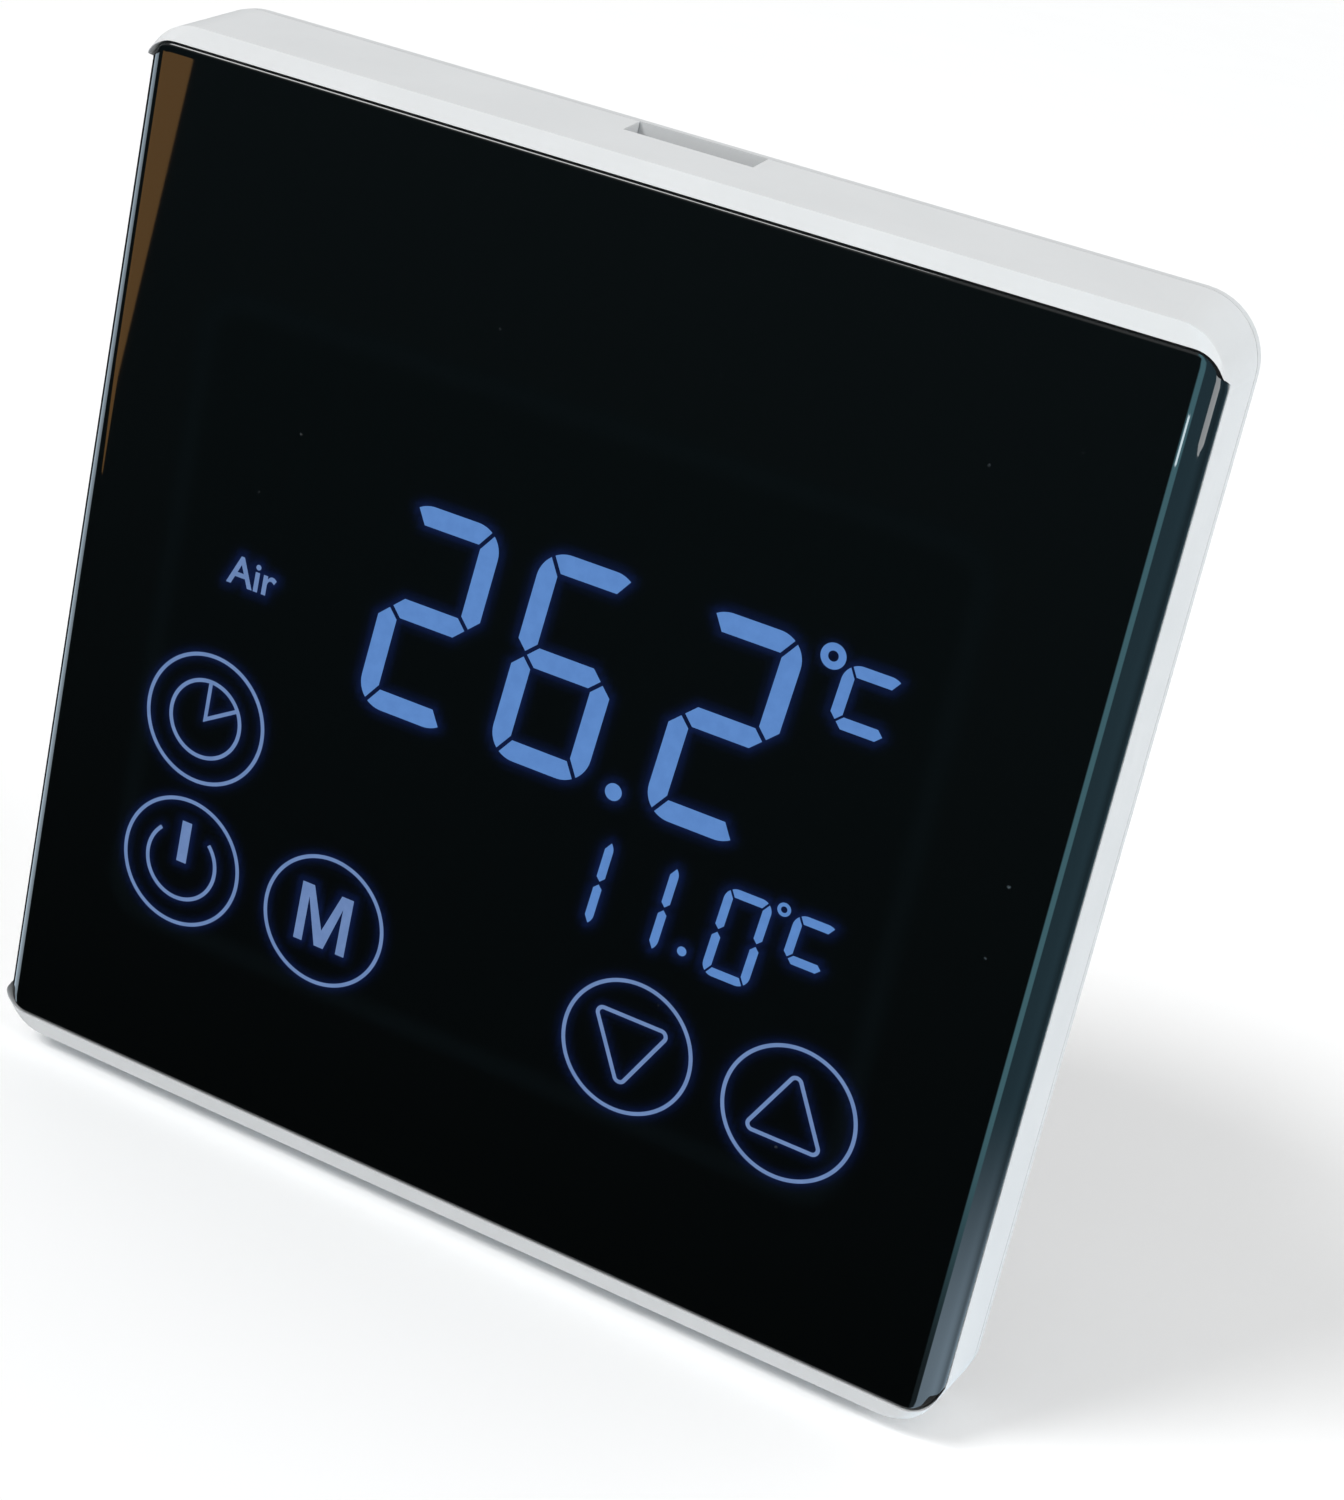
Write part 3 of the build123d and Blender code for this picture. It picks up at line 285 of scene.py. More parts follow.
def panel_finish(name):
    """Polished black acrylic: blue-green tint with a painted reflection that lightens it towards the top, a
    paler display window, the lit marks' glow and dust.
    """
    finish, start = new_finish(name)
    place, (x, y, z) = place_of(start)
    middle = (GLASS_LOW + GLASS_HIGH) / 2
    half = (GLASS_HIGH - GLASS_LOW) / 2 - WINDOW_MARGIN
    out_x = abs(x - middle[0]) - (half[0] - WINDOW_CORNER)
    out_z = abs(z - middle[2]) - (half[2] - WINDOW_CORNER)
    over_x = out_x.sum_of("MAXIMUM", out_x, 0.0)
    over_z = out_z.sum_of("MAXIMUM", out_z, 0.0)
    corner = start.sum_of("SQRT", over_x * over_x + over_z * over_z)
    inner = start.sum_of("MINIMUM", start.sum_of("MAXIMUM", out_x, out_z), 0.0)
    edge = corner + inner - WINDOW_CORNER
    window = edge.step(0.25, -0.25)
    rim = abs(edge + 1.0).step(1.6, 0.0)
    height = (z - PANEL_LOW[2]) / (PANEL_HIGH[2] - PANEL_LOW[2])
    # painted reflection: the blue-green tint grows lighter towards the top, in the display window as well
    tint_and_painted_reflection = height.tint((0.0008, 0.0013, 0.0014), (0.0024, 0.0038, 0.0043))
    shown = (window * 0.8).over(tint_and_painted_reflection, height.tint((0.0009, 0.0016, 0.0018), (0.0019, 0.0033, 0.0037)))
    base = (rim * 0.35).over(shown, (0.0030, 0.0052, 0.0064))
    # dust: a ragged pale grain in the middle of a few cells
    cells = {"Vector": place, "Scale": 0.34, "Randomness": 1.0}
    grains, own = [
        start.node("ShaderNodeTexVoronoi", {"feature": "F1"}, cells, out=out) for out in ("Distance", "Color")]
    chosen = start.node("ShaderNodeSeparateColor", {}, {0: own})
    ragged = speckle(start, place, 0.25, 2.0).step(0.35, 0.65)
    fluff = grains.step(0.07, 0.02) * chosen.step(0.80, 0.86) * ragged
    face = y.step(PANEL_FACE + 0.3, PANEL_FACE + 0.1)
    colour = (fluff * face * 0.5).over(base, (0.075, 0.09, 0.10))
    glow = start.node("ShaderNodeAttribute", {"attribute_name": "glow"}, out="Fac")
    haze = glow.tint((0.0, 0.0, 0.0), (0.003, 0.008, 0.050))
    smears = speckle(start, place, 7.0, 4.0, (1.0, 1.0, 0.4)).step(0.5, 0.8)
    close_finish(
        start, colour, 0.014 + 0.016 * smears + 0.4 * fluff, Emission_Color=haze, Emission_Strength=1.0,
        Specular_IOR_Level=ACRYLIC_SHINE)
    return finish


def lit_finish(name, colour, dim_colour):
    """A lit mark seen through the panel: light with a faint cloud of unevenness, under the panel's gloss."""
    finish, start = new_finish(name)
    place, _ = place_of(start)
    uneven = speckle(start, place, 1.1, 3.0).step(0.25, 0.75)
    close_finish(
        start, (0.004, 0.007, 0.012), 0.05 + 0.03 * uneven, Emission_Color=uneven.tint(dim_colour, colour),
        Emission_Strength=1.0, Specular_IOR_Level=ACRYLIC_SHINE)
    return finish


def clear_finish(name, colour, clearness, roughness=0.08):
    """Clear or smoky sheet, part see-through, with finger haze."""
    finish, start = new_finish(name)
    place, _ = place_of(start)
    haze = speckle(start, place, 4.0, 4.0).step(0.4, 0.8)
    dim = tuple(c * 0.85 for c in colour)
    close_finish(start, haze.tint(dim, colour), roughness + 0.1 * haze, Alpha=1.0 - clearness)
    finish.surface_render_method = "BLENDED"
    return finish


can_low, can_high = sizes("capacitors")
CAPACITOR_SIDE = (can_low[0] + can_high[0]) / 2

FINISHES = {
    "panel_black": panel_finish("panel_black"),
    "white_moulding": moulding("white_moulding", (0.60, 0.61, 0.617), 0.42, 0.22, 0.004, 0.015),
    "grey_moulding": moulding("grey_moulding", (0.42, 0.43, 0.45), 0.42),
    "black_moulding": moulding("black_moulding", (0.018, 0.018, 0.02), 0.45, 0.15, 0.008, 0.2),
    "brown_moulding": moulding("brown_moulding", (0.20, 0.085, 0.035), 0.38, 0.15, 0.006, 0.1),
    "adhesive": moulding("adhesive", (0.02, 0.02, 0.022), 0.7, 0.3, 0.02, 0.2),
    "clear_film": clear_finish("clear_film", (0.62, 0.68, 0.72), 0.45, 0.15),
    "display_glass": clear_finish("display_glass", (0.05, 0.07, 0.09), 0.25, 0.04),
    "light_guide": moulding("light_guide", (0.80, 0.85, 0.90), 0.2, 0.8, 0.01, 0.03),
    "lamp_yellow": moulding("lamp_yellow", (0.85, 0.68, 0.16), 0.35, 0.3, 0.01, 0.1),
    "circuit_board": board_finish("circuit_board"),
    "zinc_steel": metal("zinc_steel", (0.62, 0.63, 0.66), 0.28, (1.0, 1.0, 1.0), (0.50, 0.50, 0.46)),
    "tinned_metal": metal("tinned_metal", (0.72, 0.72, 0.70), 0.26, (1.0, 0.2, 1.0)),
    "gilt_pins": metal("gilt_pins", (0.86, 0.62, 0.24), 0.22, (1.0, 0.1, 1.0)),
    "contact_brass": metal("contact_brass", (0.78, 0.57, 0.27), 0.28, (1.0, 0.3, 1.0), (0.50, 0.33, 0.15)),
    # the second colour of each wound finish is painted shade in the grooves between turns
    "copper_wire": wound_finish("copper_wire", (0.62, 0.24, 0.10), (0.10, 0.03, 0.015), 0.32, 0, 0.25, 0.9),
    "winding_tape": wound_finish("winding_tape", (0.80, 0.56, 0.07), (0.45, 0.28, 0.03), 4.2, 1, 0.25),
    "ferrite": moulding("ferrite", (0.045, 0.045, 0.05), 0.55, 0.3, 0.03, 0.25),
    "can_sleeve": sleeve_finish("can_sleeve"),
    "blue_coating": moulding("blue_coating", (0.03, 0.13, 0.42), 0.25, 1.4, 0.05, 0.12),
    "relay_blue": moulding("relay_blue", (0.035, 0.12, 0.36), 0.3, 0.2, 0.005, 0.05),
}
LIT_DIGITS = lit_finish("lit_digits", (0.106, 0.243, 0.570), (0.095, 0.220, 0.525))
LIT_LINES = lit_finish("lit_lines", (0.152, 0.240, 0.470), (0.130, 0.212, 0.425))

for node in NODES.values():
    for holder in node.material_slots:
        holder.material = FINISHES[holder.material.name.split(".")[0]]


# ---------------------------------------------------------------- shapes

def place_piece(mesh, finish, body):
    """Shows a mesh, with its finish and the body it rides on."""
    mesh.materials.append(finish)
    piece = bpy.data.objects.new(mesh.name, mesh)
    bpy.context.scene.collection.objects.link(piece)
    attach(piece, body)
    return piece


def new_piece(name, points, faces, finish, body, smooth=True):
    """A piece from points in millimetres and faces."""
    mesh = bpy.data.meshes.new(name)
    mesh.from_pydata((np.asarray(points) * MM).tolist(), [], faces)
    mesh.update()
    mesh.polygons.foreach_set("use_smooth", [smooth] * len(mesh.polygons))
    return place_piece(mesh, finish, body)


def grid_faces(rows, columns, close_rows=False, close_columns=False):
    """Quads of a grid of points that is stored row by row; a closed direction joins its end to its start."""
    r = np.arange(rows if close_rows else rows - 1)
    c = np.arange(columns if close_columns else columns - 1)
    r, c = np.meshgrid(r, c, indexing="ij")
    here, ahead = r * columns, (r + 1) % rows * columns
    next_c = (c + 1) % columns
    quads = np.stack([here + c, here + next_c, ahead + next_c, ahead + c], -1)
    return quads.reshape(-1, 4).tolist()


LIT_FRONT = PANEL_FACE - 0.02
LIT_BACK = PANEL_FACE + 0.05
lit_outlines = []


def lit_plate(outline):
    """A flat outline (x, z) made a thin closed plate in the panel's face: the outline twice, its front and
    back as single faces, and a quad from each side of it."""
    outline = np.asarray(outline, float)
    x, z = outline.T
    area = np.sum(x * np.roll(z, -1) - np.roll(x, -1) * z)
    if area < 0:
        outline = outline[::-1]
        x, z = outline.T
    lit_outlines.append(outline)
    n = len(outline)
    front = np.stack([x, np.full(n, LIT_FRONT), z], 1)
    back = np.stack([x, np.full(n, LIT_BACK), z], 1)
    i = np.arange(n)
    j = (i + 1) % n
    sides = np.stack([i, i + n, j + n, j], 1).tolist()
    return np.vstack([front, back]), [list(range(n)), list(range(2 * n - 1, n - 1, -1)), *sides]


def lit_band(path, width, closed=True):
    """A line of one width along a path (x, z), made a thin closed plate: at each point the profile, a
    rectangle, stands across the path on the line that halves the turn there."""
    path = np.asarray(path, float)
    if closed:
        ahead = np.roll(path, -1, 0) - path
        behind = path - np.roll(path, 1, 0)
    else:
        step = np.diff(path, axis=0)
        ahead = np.vstack([step, step[-1:]])
        behind = np.vstack([step[:1], step])
    ahead = ahead / np.linalg.norm(ahead, axis=1, keepdims=True)
    behind = behind / np.linalg.norm(behind, axis=1, keepdims=True)
    turn = ahead + behind
    turn /= np.linalg.norm(turn, axis=1, keepdims=True)
    across = np.stack([turn[:, 1], -turn[:, 0]], 1)
    reach = width / 2 / np.clip(np.sum(turn * ahead, 1, keepdims=True), 0.5, 1.0)
    outer, inner = path + across * reach, path - across * reach
    lit_outlines.append(path if closed else np.vstack([path, path[::-1]]))
    rows = []
    for edge, y in ((outer, LIT_FRONT), (inner, LIT_FRONT), (inner, LIT_BACK), (outer, LIT_BACK)):
        rows.append(np.stack([edge[:, 0], np.full(len(edge), y), edge[:, 1]], 1))
    points = np.stack(rows, 1).reshape(-1, 3)
    faces = grid_faces(len(path), 4, closed, True)
    if not closed:
        last = 4 * (len(path) - 1)
        faces += [[3, 2, 1, 0], [last, last + 1, last + 2, last + 3]]
    return points, faces


def joined(name, shapes, finish):
    """Several plates as one piece on the front cover."""
    points, faces, count = [], [], 0
    for shape_points, shape_faces in shapes:
        points.append(shape_points)
        faces += [[v + count for v in face] for face in shape_faces]
        count += len(shape_points)
    outward(new_piece(name, np.vstack(points), faces, finish, "front_cover", smooth=False))


def outward(piece, weld=False):
    """Turns every closed shell of a piece to face outwards, after welding points that coincide."""
    work = bmesh.new()
    work.from_mesh(piece.data)
    if weld:
        bmesh.ops.remove_doubles(work, verts=work.verts, dist=1e-7)
    bmesh.ops.recalc_face_normals(work, faces=work.faces)
    work.to_mesh(piece.data)
    work.free()


def arc(centre, radius, start, end, count):
    """Points on a circle from start to end, in degrees counted from +x towards +z."""
    angle = np.radians(np.linspace(start, end, count))
    return np.stack([centre[0] + radius * np.cos(angle), centre[1] + radius * np.sin(angle)], 1)


def circle(centre, radius, count=96):
    return arc(centre, radius, 0, 360, count + 1)[:-1]


def rounded(corners, radius, count=9):
    """A polygon with each corner replaced by an arc that touches both of its sides."""
    corners = np.asarray(corners, float)
    points = []
    for before, corner, after in zip(np.roll(corners, 1, 0), corners, np.roll(corners, -1, 0)):
        a = (before - corner) / np.linalg.norm(before - corner)
        b = (after - corner) / np.linalg.norm(after - corner)
        half = math.acos(float(np.clip(a @ b, -1, 1))) / 2
        middle = corner + (a + b) / np.linalg.norm(a + b) * radius / math.sin(half)
        t = np.linspace(0, 1, count)[:, None]
        from_a = corner + a * radius / math.tan(half) - middle
        from_b = corner + b * radius / math.tan(half) - middle
        sweep = from_a * (1 - t) + from_b * t
        points.append(middle + sweep / np.linalg.norm(sweep, axis=1, keepdims=True) * radius)
    return np.vstack(points)


SEGMENT_SLANT = 0.08


def digit(centre, half_width, half_height, stroke, gap, lit):
    """A slanted seven-segment digit. Its outline is a rectangle with corners of radius 1.44 strokes. At a
    corner two segments part along a line that leaves the inner corner with 0.66 across for 1 up, and
    meets the outer arc at the root of a quadratic. a is the top bar, b the upper right upright, g the middle
    bar; c, d, e and f are their mirror images."""
    a, b, t = half_width, half_height, stroke
    inner, mid, lean, curve = a - t, t / 2, 0.66, 1.44 * t
    shift = gap * math.hypot(1, lean) / 2

    def parting(offset):
        """Angle on the outer arc where the parting line, moved sideways, meets it."""
        d = curve - t
        square, linear = 1 + lean ** 2, 2 * (lean * (d + offset) + d)
        rest = (d + offset) ** 2 + d ** 2 - curve ** 2
        up = (math.sqrt(linear ** 2 - 4 * square * rest) - linear) / (2 * square)
        return math.degrees(math.atan2(d + up, d + offset + lean * up))

    corner = (a - curve, b - curve)
    bar = arc(corner, curve, parting(-shift), 90, 7)
    bend = arc(corner, curve, 0, parting(shift), 7)
    step = gap / math.sqrt(2)
    shapes = {
        "a": [*(bar * (-1, 1)), *bar[::-1], (inner - shift, b - t), (shift - inner, b - t)],
        "b": [(inner, mid + step), (a - mid, step), (a, mid + step), *bend, (inner, b - t - shift / lean)],
        "g": [(step + mid - a, 0), (step - inner, mid), (inner - step, mid), (a - mid - step, 0),
              (inner - step, -mid), (step - inner, -mid)],
    }
    mirrored = {"a": ("a", 1, 1), "b": ("b", 1, 1), "c": ("b", 1, -1), "d": ("a", 1, -1),
                "e": ("b", -1, -1), "f": ("b", -1, 1), "g": ("g", 1, 1)}
    made = []
    for letter in lit:
        shape, flip_x, flip_z = mirrored[letter]
        points = np.array(shapes[shape], float) * (flip_x, flip_z)
        points[:, 0] += SEGMENT_SLANT * points[:, 1]
        made.append(lit_plate(points + centre))
    return made


# ---------------------------------------------------------------- lit marks

TWO, SIX, ONE, ZERO, UNIT = "abged", "afgedc", "bc", "abcdef", "afg"
BIG = dict(half_height=8.56, stroke=1.62, gap=0.34)
SMALL = dict(half_height=3.70, stroke=0.70, gap=0.18)
ROW_BIG, ROW_SMALL = 4.95, -10.36
reading = []
for x, lit in ((-10.42, TWO), (1.30, SIX), (14.62, TWO)):
    reading += digit((x, ROW_BIG), 4.18, lit=lit, **BIG)
reading.append(lit_plate(circle((7.31, -2.97), 0.69, 32)))
reading += digit((24.60, 8.41), 2.43, 4.58, 0.94, 0.20, UNIT)
reading.append(lit_band(circle((21.46, 13.0), 0.70, 48), 0.58))
joined("display_reading", reading, LIT_DIGITS)

setting = []
for x, lit in ((6.20, ONE), (11.72, ONE), (19.39, ZERO)):
    setting += digit((x, ROW_SMALL), 1.93, lit=lit, **SMALL)
setting.append(lit_plate(circle((15.43, -13.07), 0.38, 24)))
setting += digit((24.90, ROW_SMALL), 1.80, lit=UNIT, **SMALL)
setting.append(lit_band(circle((22.42, -6.82), 0.40, 40), 0.28))
joined("display_setting", setting, LIT_DIGITS)

KEY_RADIUS, KEY_LINE, ICON_LINE = 5.36, 0.31, 0.32
clock_at, power_at, mode_at = (-28.07, -9.82), (-28.07, -22.40), (-14.45, -22.42)
down_at, up_at = (12.86, -22.32), (26.52, -22.20)
keys = (clock_at, power_at, mode_at, down_at, up_at)
rings = [lit_band(circle(at, KEY_RADIUS, 128), KEY_LINE) for at in keys]
joined("key_rings", rings, LIT_LINES)

ICON_RADIUS, HAND = 3.22, 3.10
icons = [lit_band(circle(clock_at, ICON_RADIUS, 96), ICON_LINE)]
hour, minute = (arc(clock_at, HAND, turn, turn, 1)[0] for turn in (31, 90))
icons.append(lit_band([minute, clock_at, hour], ICON_LINE, closed=False))
icons.append(lit_band(arc(power_at, ICON_RADIUS, 135, 405, 80), ICON_LINE, closed=False))
bar = np.array([(-0.45, -0.05), (0.45, -0.05), (0.45, 3.50), (-0.45, 3.50)])
icons.append(lit_plate(bar + power_at))
triangle = np.array([(-3.22, -2.42), (3.22, -2.42), (0.0, 3.50)])
icons.append(lit_band(rounded(triangle + up_at, 0.45), ICON_LINE))
icons.append(lit_band(rounded(triangle * (1, -1) + down_at, 0.45), ICON_LINE))
M_HALF, M_RISE, M_STEM, M_FOOT = 2.36, 2.50, 0.78, 0.42
letter_m = np.array([
    (-M_HALF, -M_RISE), (-M_HALF, M_RISE), (-M_HALF + 1.08, M_RISE), (0.0, -1.05), (M_HALF - 1.08, M_RISE),
    (M_HALF, M_RISE), (M_HALF, -M_RISE), (M_HALF - M_STEM, -M_RISE), (M_HALF - M_STEM, 1.45),
    (M_FOOT, -M_RISE), (-M_FOOT, -M_RISE), (M_STEM - M_HALF, 1.45), (M_STEM - M_HALF, -M_RISE)])
icons.append(lit_plate(letter_m + mode_at + (0.0, 0.18)))
joined("key_symbols", icons, LIT_LINES)


def word(name, text, low, height, finish):
    """A word in plain letters on the panel's face: low is its lower left corner, height its capitals'."""
    curve = bpy.data.curves.new(name, "FONT")
    curve.body = text
    curve.extrude = 0.5
    curve.resolution_u = 6
    curve.offset = 0.012
    holder = bpy.data.objects.new(name, curve)
    bpy.context.scene.collection.objects.link(holder)
    bpy.context.view_layer.update()
    mesh = bpy.data.meshes.new_from_object(holder.evaluated_get(bpy.context.evaluated_depsgraph_get()))
    bpy.data.objects.remove(holder)
    points = np.zeros(len(mesh.vertices) * 3)
    mesh.vertices.foreach_get("co", points)
    points = points.reshape(-1, 3)
    faces = [list(face.vertices) for face in mesh.polygons]
    bpy.data.meshes.remove(mesh)
    scale = height / (points[:, 1].max() - points[:, 1].min())
    flat = (points[:, :2] - points[:, :2].min(0)) * scale + low
    depth = np.where(points[:, 2] > 0, LIT_FRONT, LIT_BACK)
    lit_outlines.append(flat)
    placed = np.stack([flat[:, 0], depth, flat[:, 1]], 1)
    outward(new_piece(name, placed, faces, finish, "front_cover", smooth=False), weld=True)


word("room_sensor_mark", "Air", (-28.3, 1.95), 2.40, LIT_LINES)


# ---------------------------------------------------------------- boards

def bevelled_box(low, high, bevel=0.08):
    """A closed box with bevelled edges: each of the eight corners is split into three points, one on each of
    its faces, and the hull of all of them is the box."""
    low, high = np.array(low, float), np.array(high, float)
    points = []
    for corner in np.ndindex(2, 2, 2):
        at = np.where(corner, high, low)
        inward = np.where(corner, -bevel, bevel)
        for axis in range(3):
            points.append(at + inward * (np.arange(3) != axis))
    return np.array(points)


def hull_piece(name, clusters, slot, body):
    """Several convex shapes, each from its own cluster of points, as one piece with its slot's finish."""
    work = bmesh.new()
    for cluster in clusters:
        verts = [work.verts.new([v * MM for v in point]) for point in cluster]
        bmesh.ops.convex_hull(work, input=verts)
    bmesh.ops.recalc_face_normals(work, faces=work.faces)
    mesh = bpy.data.meshes.new(name)
    work.to_mesh(mesh)
    work.free()
    place_piece(mesh, FINISHES[slot], body)


def free_place(x, z, room, boxes):
    """Whether (x, z) is at least room away from some boxes."""
    return not any(
        low[0] - room < x < high[0] + room and low[2] - room < z < high[2] + room for low, high in boxes)


def chips_on_board():
    """Chip resistors and capacitors in loose rows on the back of the display board. Each is a dark body
    with a tinned cap, slightly prouder, at both ends."""
    behind = sizes("display_board")[1][1]
    taken = [sizes(node) for node in ("control_chip", "buzzer", "cell_holder", "crystal", "board_socket")]
    # half a chip's length and width, its rise, half a cap's length, and how far a cap stands proud
    long, wide, rise, cap, proud = 0.8, 0.42, 0.42, 0.14, 0.03
    bodies, ends = [], []
    for row, z in enumerate(np.arange(-26, 31, 5.2)):
        for column, x in enumerate(np.arange(-27, 28, 4.6)):
            place = x + 0.6 * math.sin(2.3 * row + column), z + 0.5 * math.cos(1.7 * column + row)
            if math.sin(3.1 * row + 1.9 * column) < -0.1 or not free_place(*place, 2.0, taken):
                continue
            run = -1 if (row + 2 * column) % 3 == 0 else 1
            half = np.array((long, wide)[::run]) - 0.04
            reach = np.array((cap, wide)[::run])
            shift = np.array((long - cap, 0)[::run])
            centre = np.array(place)
            (x0, z0), (x1, z1) = centre - half, centre + half
            bodies.append(bevelled_box((x0, behind, z0), (x1, behind + rise, z1), 0.04))
            for middle in (centre - shift, centre + shift):
                (x0, z0), (x1, z1) = middle - reach, middle + reach
                ends.append(bevelled_box((x0, behind, z0), (x1, behind + rise + proud, z1), 0.05))
    hull_piece("chip_bodies", bodies, "black_moulding", "front_cover")
    hull_piece("chip_ends", ends, "tinned_metal", "front_cover")


def solder_joints():
    """Low cones of solder round the legs, on the front of the power board: a hull of three rings each."""
    front = sizes("power_board")[0][1]
    rings = [(1.0, 0.0), (0.72, 0.22), (0.38, 0.62)]
    legs = []
    for node, columns, rows, margin in (
            ("capacitors", 1, 4, 2.2), ("varistor", 2, 1, 1.6), ("rectifier", 2, 2, 1.2), ("fuse", 2, 1, 1.0),
            ("transformer_coil", 4, 2, 1.6), ("relay_base", 2, 2, 2.0), ("relay_contacts", 1, 2, 0.8)):
        low, high = sizes(node)
        xs, zs = (
            np.linspace(low[axis] + margin, high[axis] - margin, count) if count > 1
            else [(low[axis] + high[axis]) / 2] for axis, count in ((0, columns), (2, rows)))
        legs += [(x, z) for x in xs for z in zs]
    cones = [
        [(x, front - rise, z) for radius, rise in rings for x, z in circle(leg, radius, 16)] for leg in legs]
    hull_piece("solder_joints", cones, "tinned_metal", "wall_unit")


chips_on_board()
solder_joints()


# ---------------------------------------------------------------- panel

def front_sheet():
    """The black panel as one closed skin. A section, the panel's outline in height and depth with bevelled
    ends, is carried from left to right; where x nears a side, the section sinks by the rolled edge's
    quarter circle and shortens by the corner's."""
    (x0, y0, z0), (x1, y1, z1) = PANEL_LOW, PANEL_HIGH
    half_x, half_z = (x1 - x0) / 2, (z1 - z0) / 2
    roll, corner, bevel = 1.9, 2.5, 0.32
    turn = np.radians(np.linspace(90, 0, 19))
    side = np.unique(np.round(np.concatenate([
        half_x - roll + roll * np.cos(turn), half_x - corner + corner * np.cos(turn)]), 5))
    flat = np.linspace(0, half_x - corner, 82)
    x = np.concatenate([flat, side[side > half_x - corner + 0.01]])
    x = np.concatenate([-x[:0:-1], x])
    past_roll = np.clip(np.abs(x) - (half_x - roll), 0, roll)
    sunk = roll - np.sqrt(roll ** 2 - past_roll ** 2)
    past_corner = np.clip(np.abs(x) - (half_x - corner), 0, corner)
    top = half_z - corner + np.sqrt(corner ** 2 - past_corner ** 2)
    face = y0 + np.minimum(sunk, y1 - y0 - 0.12)
    cut = np.minimum(bevel, (y1 - face) / 2)
    ease = np.radians(np.linspace(0, 90, 5))
    rows = [np.stack([x, face, part * (top - cut)], 1) for part in np.linspace(-1, 1, 161)]
    for angle in ease[1:]:
        rows.append(np.stack([x, face + cut * (1 - np.cos(angle)), top - cut + cut * np.sin(angle)], 1))
    rows.append(np.stack([x, np.full_like(x, y1), top], 1))
    rows.append(np.stack([x, np.full_like(x, y1), -top], 1))
    for angle in ease[:0:-1]:
        rows.append(np.stack([x, face + cut * (1 - np.cos(angle)), cut - top - cut * np.sin(angle)], 1))
    points = np.stack(rows, 1)
    columns, around = points.shape[:2]
    faces = grid_faces(columns, around, False, True)
    faces += [list(range(around))[::-1], [(columns - 1) * around + i for i in range(around)]]
    points = points.reshape(-1, 3)
    middle = np.array([(x0 + x1) / 2, 0, (z0 + z1) / 2])
    skin = FINISHES["panel_black"]
    piece = new_piece("glossy_front", points + middle, faces, skin, "front_cover")
    outward(piece)
    add_glow(piece)
    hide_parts("touch_panel")


def add_glow(piece):
    """The attribute glow: 1 on the outline of a lit mark, exp(-(d / 0.36)^1.4) at d mm from the nearest."""
    spacing, longest = 0.25, 12
    marks = []
    for outline in lit_outlines:
        ends = np.roll(outline, -1, 0)
        length = np.linalg.norm(ends - outline, axis=1)
        for start, end, far in zip(outline, ends, length):
            if far < longest:
                marks.append(start + (end - start) * np.arange(0, 1, spacing / max(far, spacing))[:, None])
    marks = np.vstack(marks)
    co = np.zeros(len(piece.data.vertices) * 3)
    piece.data.vertices.foreach_get("co", co)
    co = co.reshape(-1, 3) / MM
    nearest = np.full(len(co), 99.0)
    front = np.where(co[:, 1] < PANEL_FACE + 0.01)[0]
    for chunk in np.array_split(front, 60):
        gap = co[chunk][:, None, ::2] - marks[None]
        nearest[chunk] = np.sqrt((gap ** 2).sum(2).min(1))
    glow = np.exp(-((nearest / 0.36) ** 1.4))
    piece.data.attributes.new("glow", "FLOAT", "POINT").data.foreach_set("value", glow.astype(np.float32))


front_sheet()


# ---------------------------------------------------------------- studio

def lamp(name, place, aim, size, power, colour=(1, 1, 1), diffuse=True):
    """A soft rectangular lamp at a place, turned to its aim, both in millimetres. One without diffuse
    light shows only as a reflection."""
    kind = bpy.data.lights.new(name, "AREA")
    kind.shape = "RECTANGLE"
    kind.size, kind.size_y = size[0] * MM, size[1] * MM
    kind.energy = power
    kind.color = colour
    holder = bpy.data.objects.new(name, kind)
    bpy.context.scene.collection.objects.link(holder)
    holder.rotation_euler = Vector(np.subtract(aim, place).tolist()).to_track_quat("-Z", "Y").to_euler()
    holder.location = [v * MM for v in place]
    holder.visible_camera = False
    holder.visible_diffuse = diffuse


def stage_sheet(name, corners, finish):
    """A flat sheet through four corners in millimetres, which belongs to the studio."""
    mesh = bpy.data.meshes.new(name)
    mesh.from_pydata([[v * MM for v in corner] for corner in corners], [], [(0, 1, 2, 3)])
    mesh.materials.append(finish)
    sheet = bpy.data.objects.new(name, mesh)
    bpy.context.scene.collection.objects.link(sheet)
    return sheet


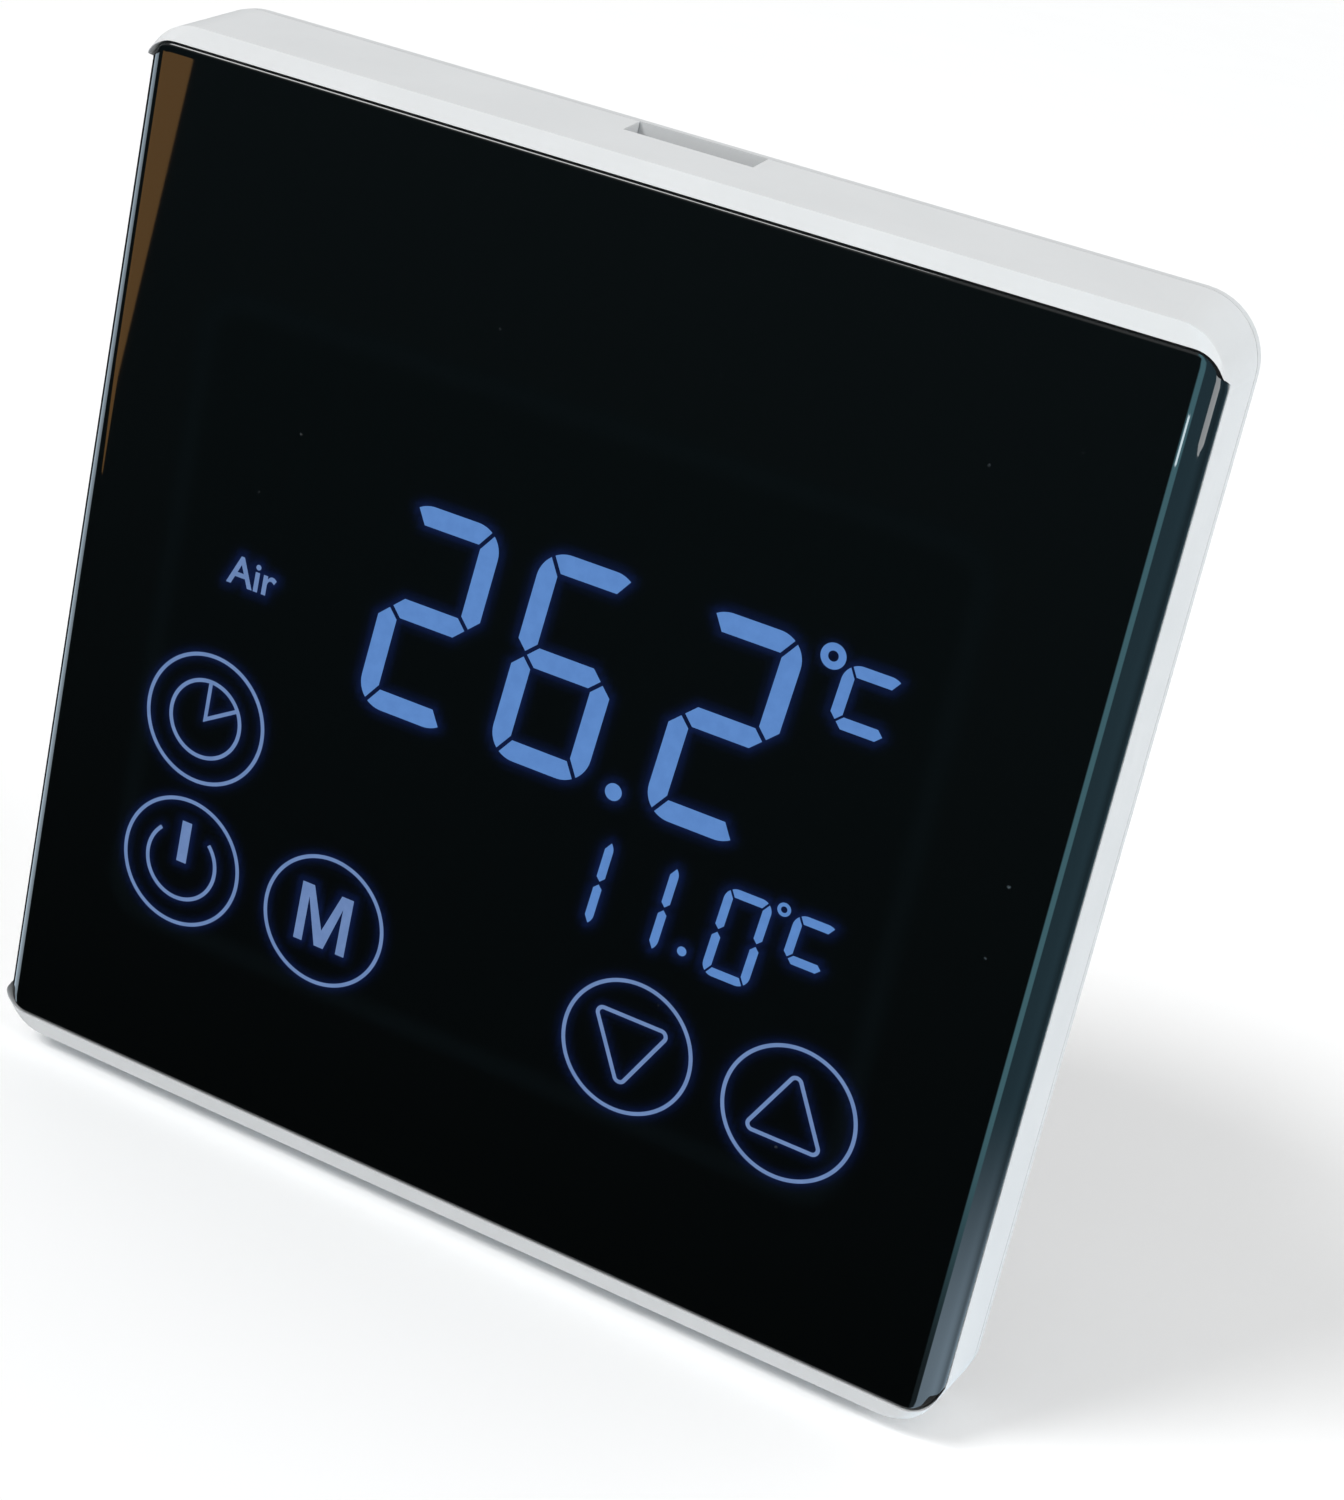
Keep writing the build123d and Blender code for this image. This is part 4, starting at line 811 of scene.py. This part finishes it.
def studio():
    """A white floor and white air. Reflections see a dim room with a pale ceiling, a warm board at the left,
    and at the right a narrow teal light beside a slate wall, which both change towards the floor."""
    finish, start = new_finish("floor_paper")
    place, _ = place_of(start)
    close_finish(start, speckle(start, place, 40.0).tint((0.94, 0.94, 0.94), (0.96, 0.96, 0.96)), 0.9,
                 Specular_IOR_Level=0.1)
    reach, level = 9000.0, HOUSING_LOW[2] - 0.2
    floor = stage_sheet("floor", [(-reach, -reach, level), (reach, -reach, level), (reach, reach, level),
                                  (-reach, reach, level)], finish)
    floor.visible_glossy = False

    finish, start = new_finish("warm_board")
    air = start.node("ShaderNodeEmission", {}, {"Color": (1.0, 0.52, 0.17, 1.0), "Strength": 2.15})
    start.node("ShaderNodeOutputMaterial", {}, {"Surface": air})
    depth = PANEL_FACE - 400
    board = stage_sheet("warm_board", [(-294.5, depth, -30), (-305.5, depth, -150), (-470, depth, -150),
                                       (-470, depth, -30)], finish)
    board.visible_camera = board.visible_diffuse = board.visible_shadow = False

    world = bpy.data.worlds.new("studio_air")
    bpy.context.scene.world = world
    world.use_nodes = True
    world.node_tree.nodes.clear()
    start = Link(world.node_tree)
    way = start.node("ShaderNodeTexCoord", out="Generated")
    x, y, up = [start.node("ShaderNodeSeparateXYZ", {}, {0: way}, out=i) for i in range(3)]
    # the angle from straight ahead of the panel, in radians, growing to the right
    turned = start.sum_of("ARCTAN2", x, -1.0 * y)
    glossy = start.node("ShaderNodeLightPath", out="Is Glossy Ray")
    seen = start.node("ShaderNodeLightPath", out="Is Camera Ray")
    # at the right: a narrow teal light that dims downwards, then a slate wall that pales downwards
    below = up.step(-0.44, -0.53)
    wall = turned.step(0.14, 0.26) * (1.0 - 0.75 * turned.step(1.3, 2.3))
    slit = turned.step(-0.15, -0.05) * turned.step(0.34, 0.22)
    ceiling = up.step(0.02, 0.5).tint((0.012, 0.012, 0.012), (0.76, 0.76, 0.76))
    walled = wall.over(ceiling, below.tint((0.34, 0.72, 0.95), (3.0, 4.0, 4.9)))
    room = slit.over(walled, below.tint((1.3, 3.1, 3.7), (0.2, 0.3, 0.35)))
    white = start.node("ShaderNodeCombineColor", {}, {i: 0.62 + 0.43 * seen for i in range(3)})
    air = start.node("ShaderNodeBackground", {}, {"Color": glossy.over(white, room), "Strength": 1.0})
    start.node("ShaderNodeOutputWorld", {}, {"Surface": air})

    key = bpy.data.lights.new("key", "SUN")
    key.energy = 1.9
    key.angle = math.radians(24)
    key_holder = bpy.data.objects.new("key", key)
    key_holder.rotation_euler = Vector((0.48, 0.52, -0.70)).to_track_quat("-Z", "Y").to_euler()
    key_holder.visible_camera = False
    bpy.context.scene.collection.objects.link(key_holder)
    lamp("fill", (680, -80, 120), (0, 0, 0), (300, 500), 2.9)
    lamp("left_wall", (-700, -60, -270), (0, 0, 0), (420, 420), 2.0, (0.70, 0.86, 1.0), diffuse=False)
    lamp("glint", (75, -594, -100), (41, 0, 38), (90, 14), 0.07, (0.85, 0.95, 1.0), diffuse=False)


studio()
scene = bpy.context.scene
scene.view_settings.view_transform = "Standard"

# camera: stands to the right of and above the panel, close to it, and is held tilted
CAMERA_PLACE = (80.43, -194.18, 79.16)
CAMERA_TURN = (70.747, -11.887, 25.496)
camera = bpy.data.cameras.new("camera")
camera.sensor_width = 36.0
camera.lens = 69.295
camera.shift_x, camera.shift_y = 0.00774, -0.0888
camera.clip_start, camera.clip_end = 0.005, 50.0
camera_holder = bpy.data.objects.new("camera", camera)
camera_holder.location = [v * MM for v in CAMERA_PLACE]
camera_holder.rotation_euler = [math.radians(v) for v in CAMERA_TURN]
scene.collection.objects.link(camera_holder)
scene.camera = camera_holder
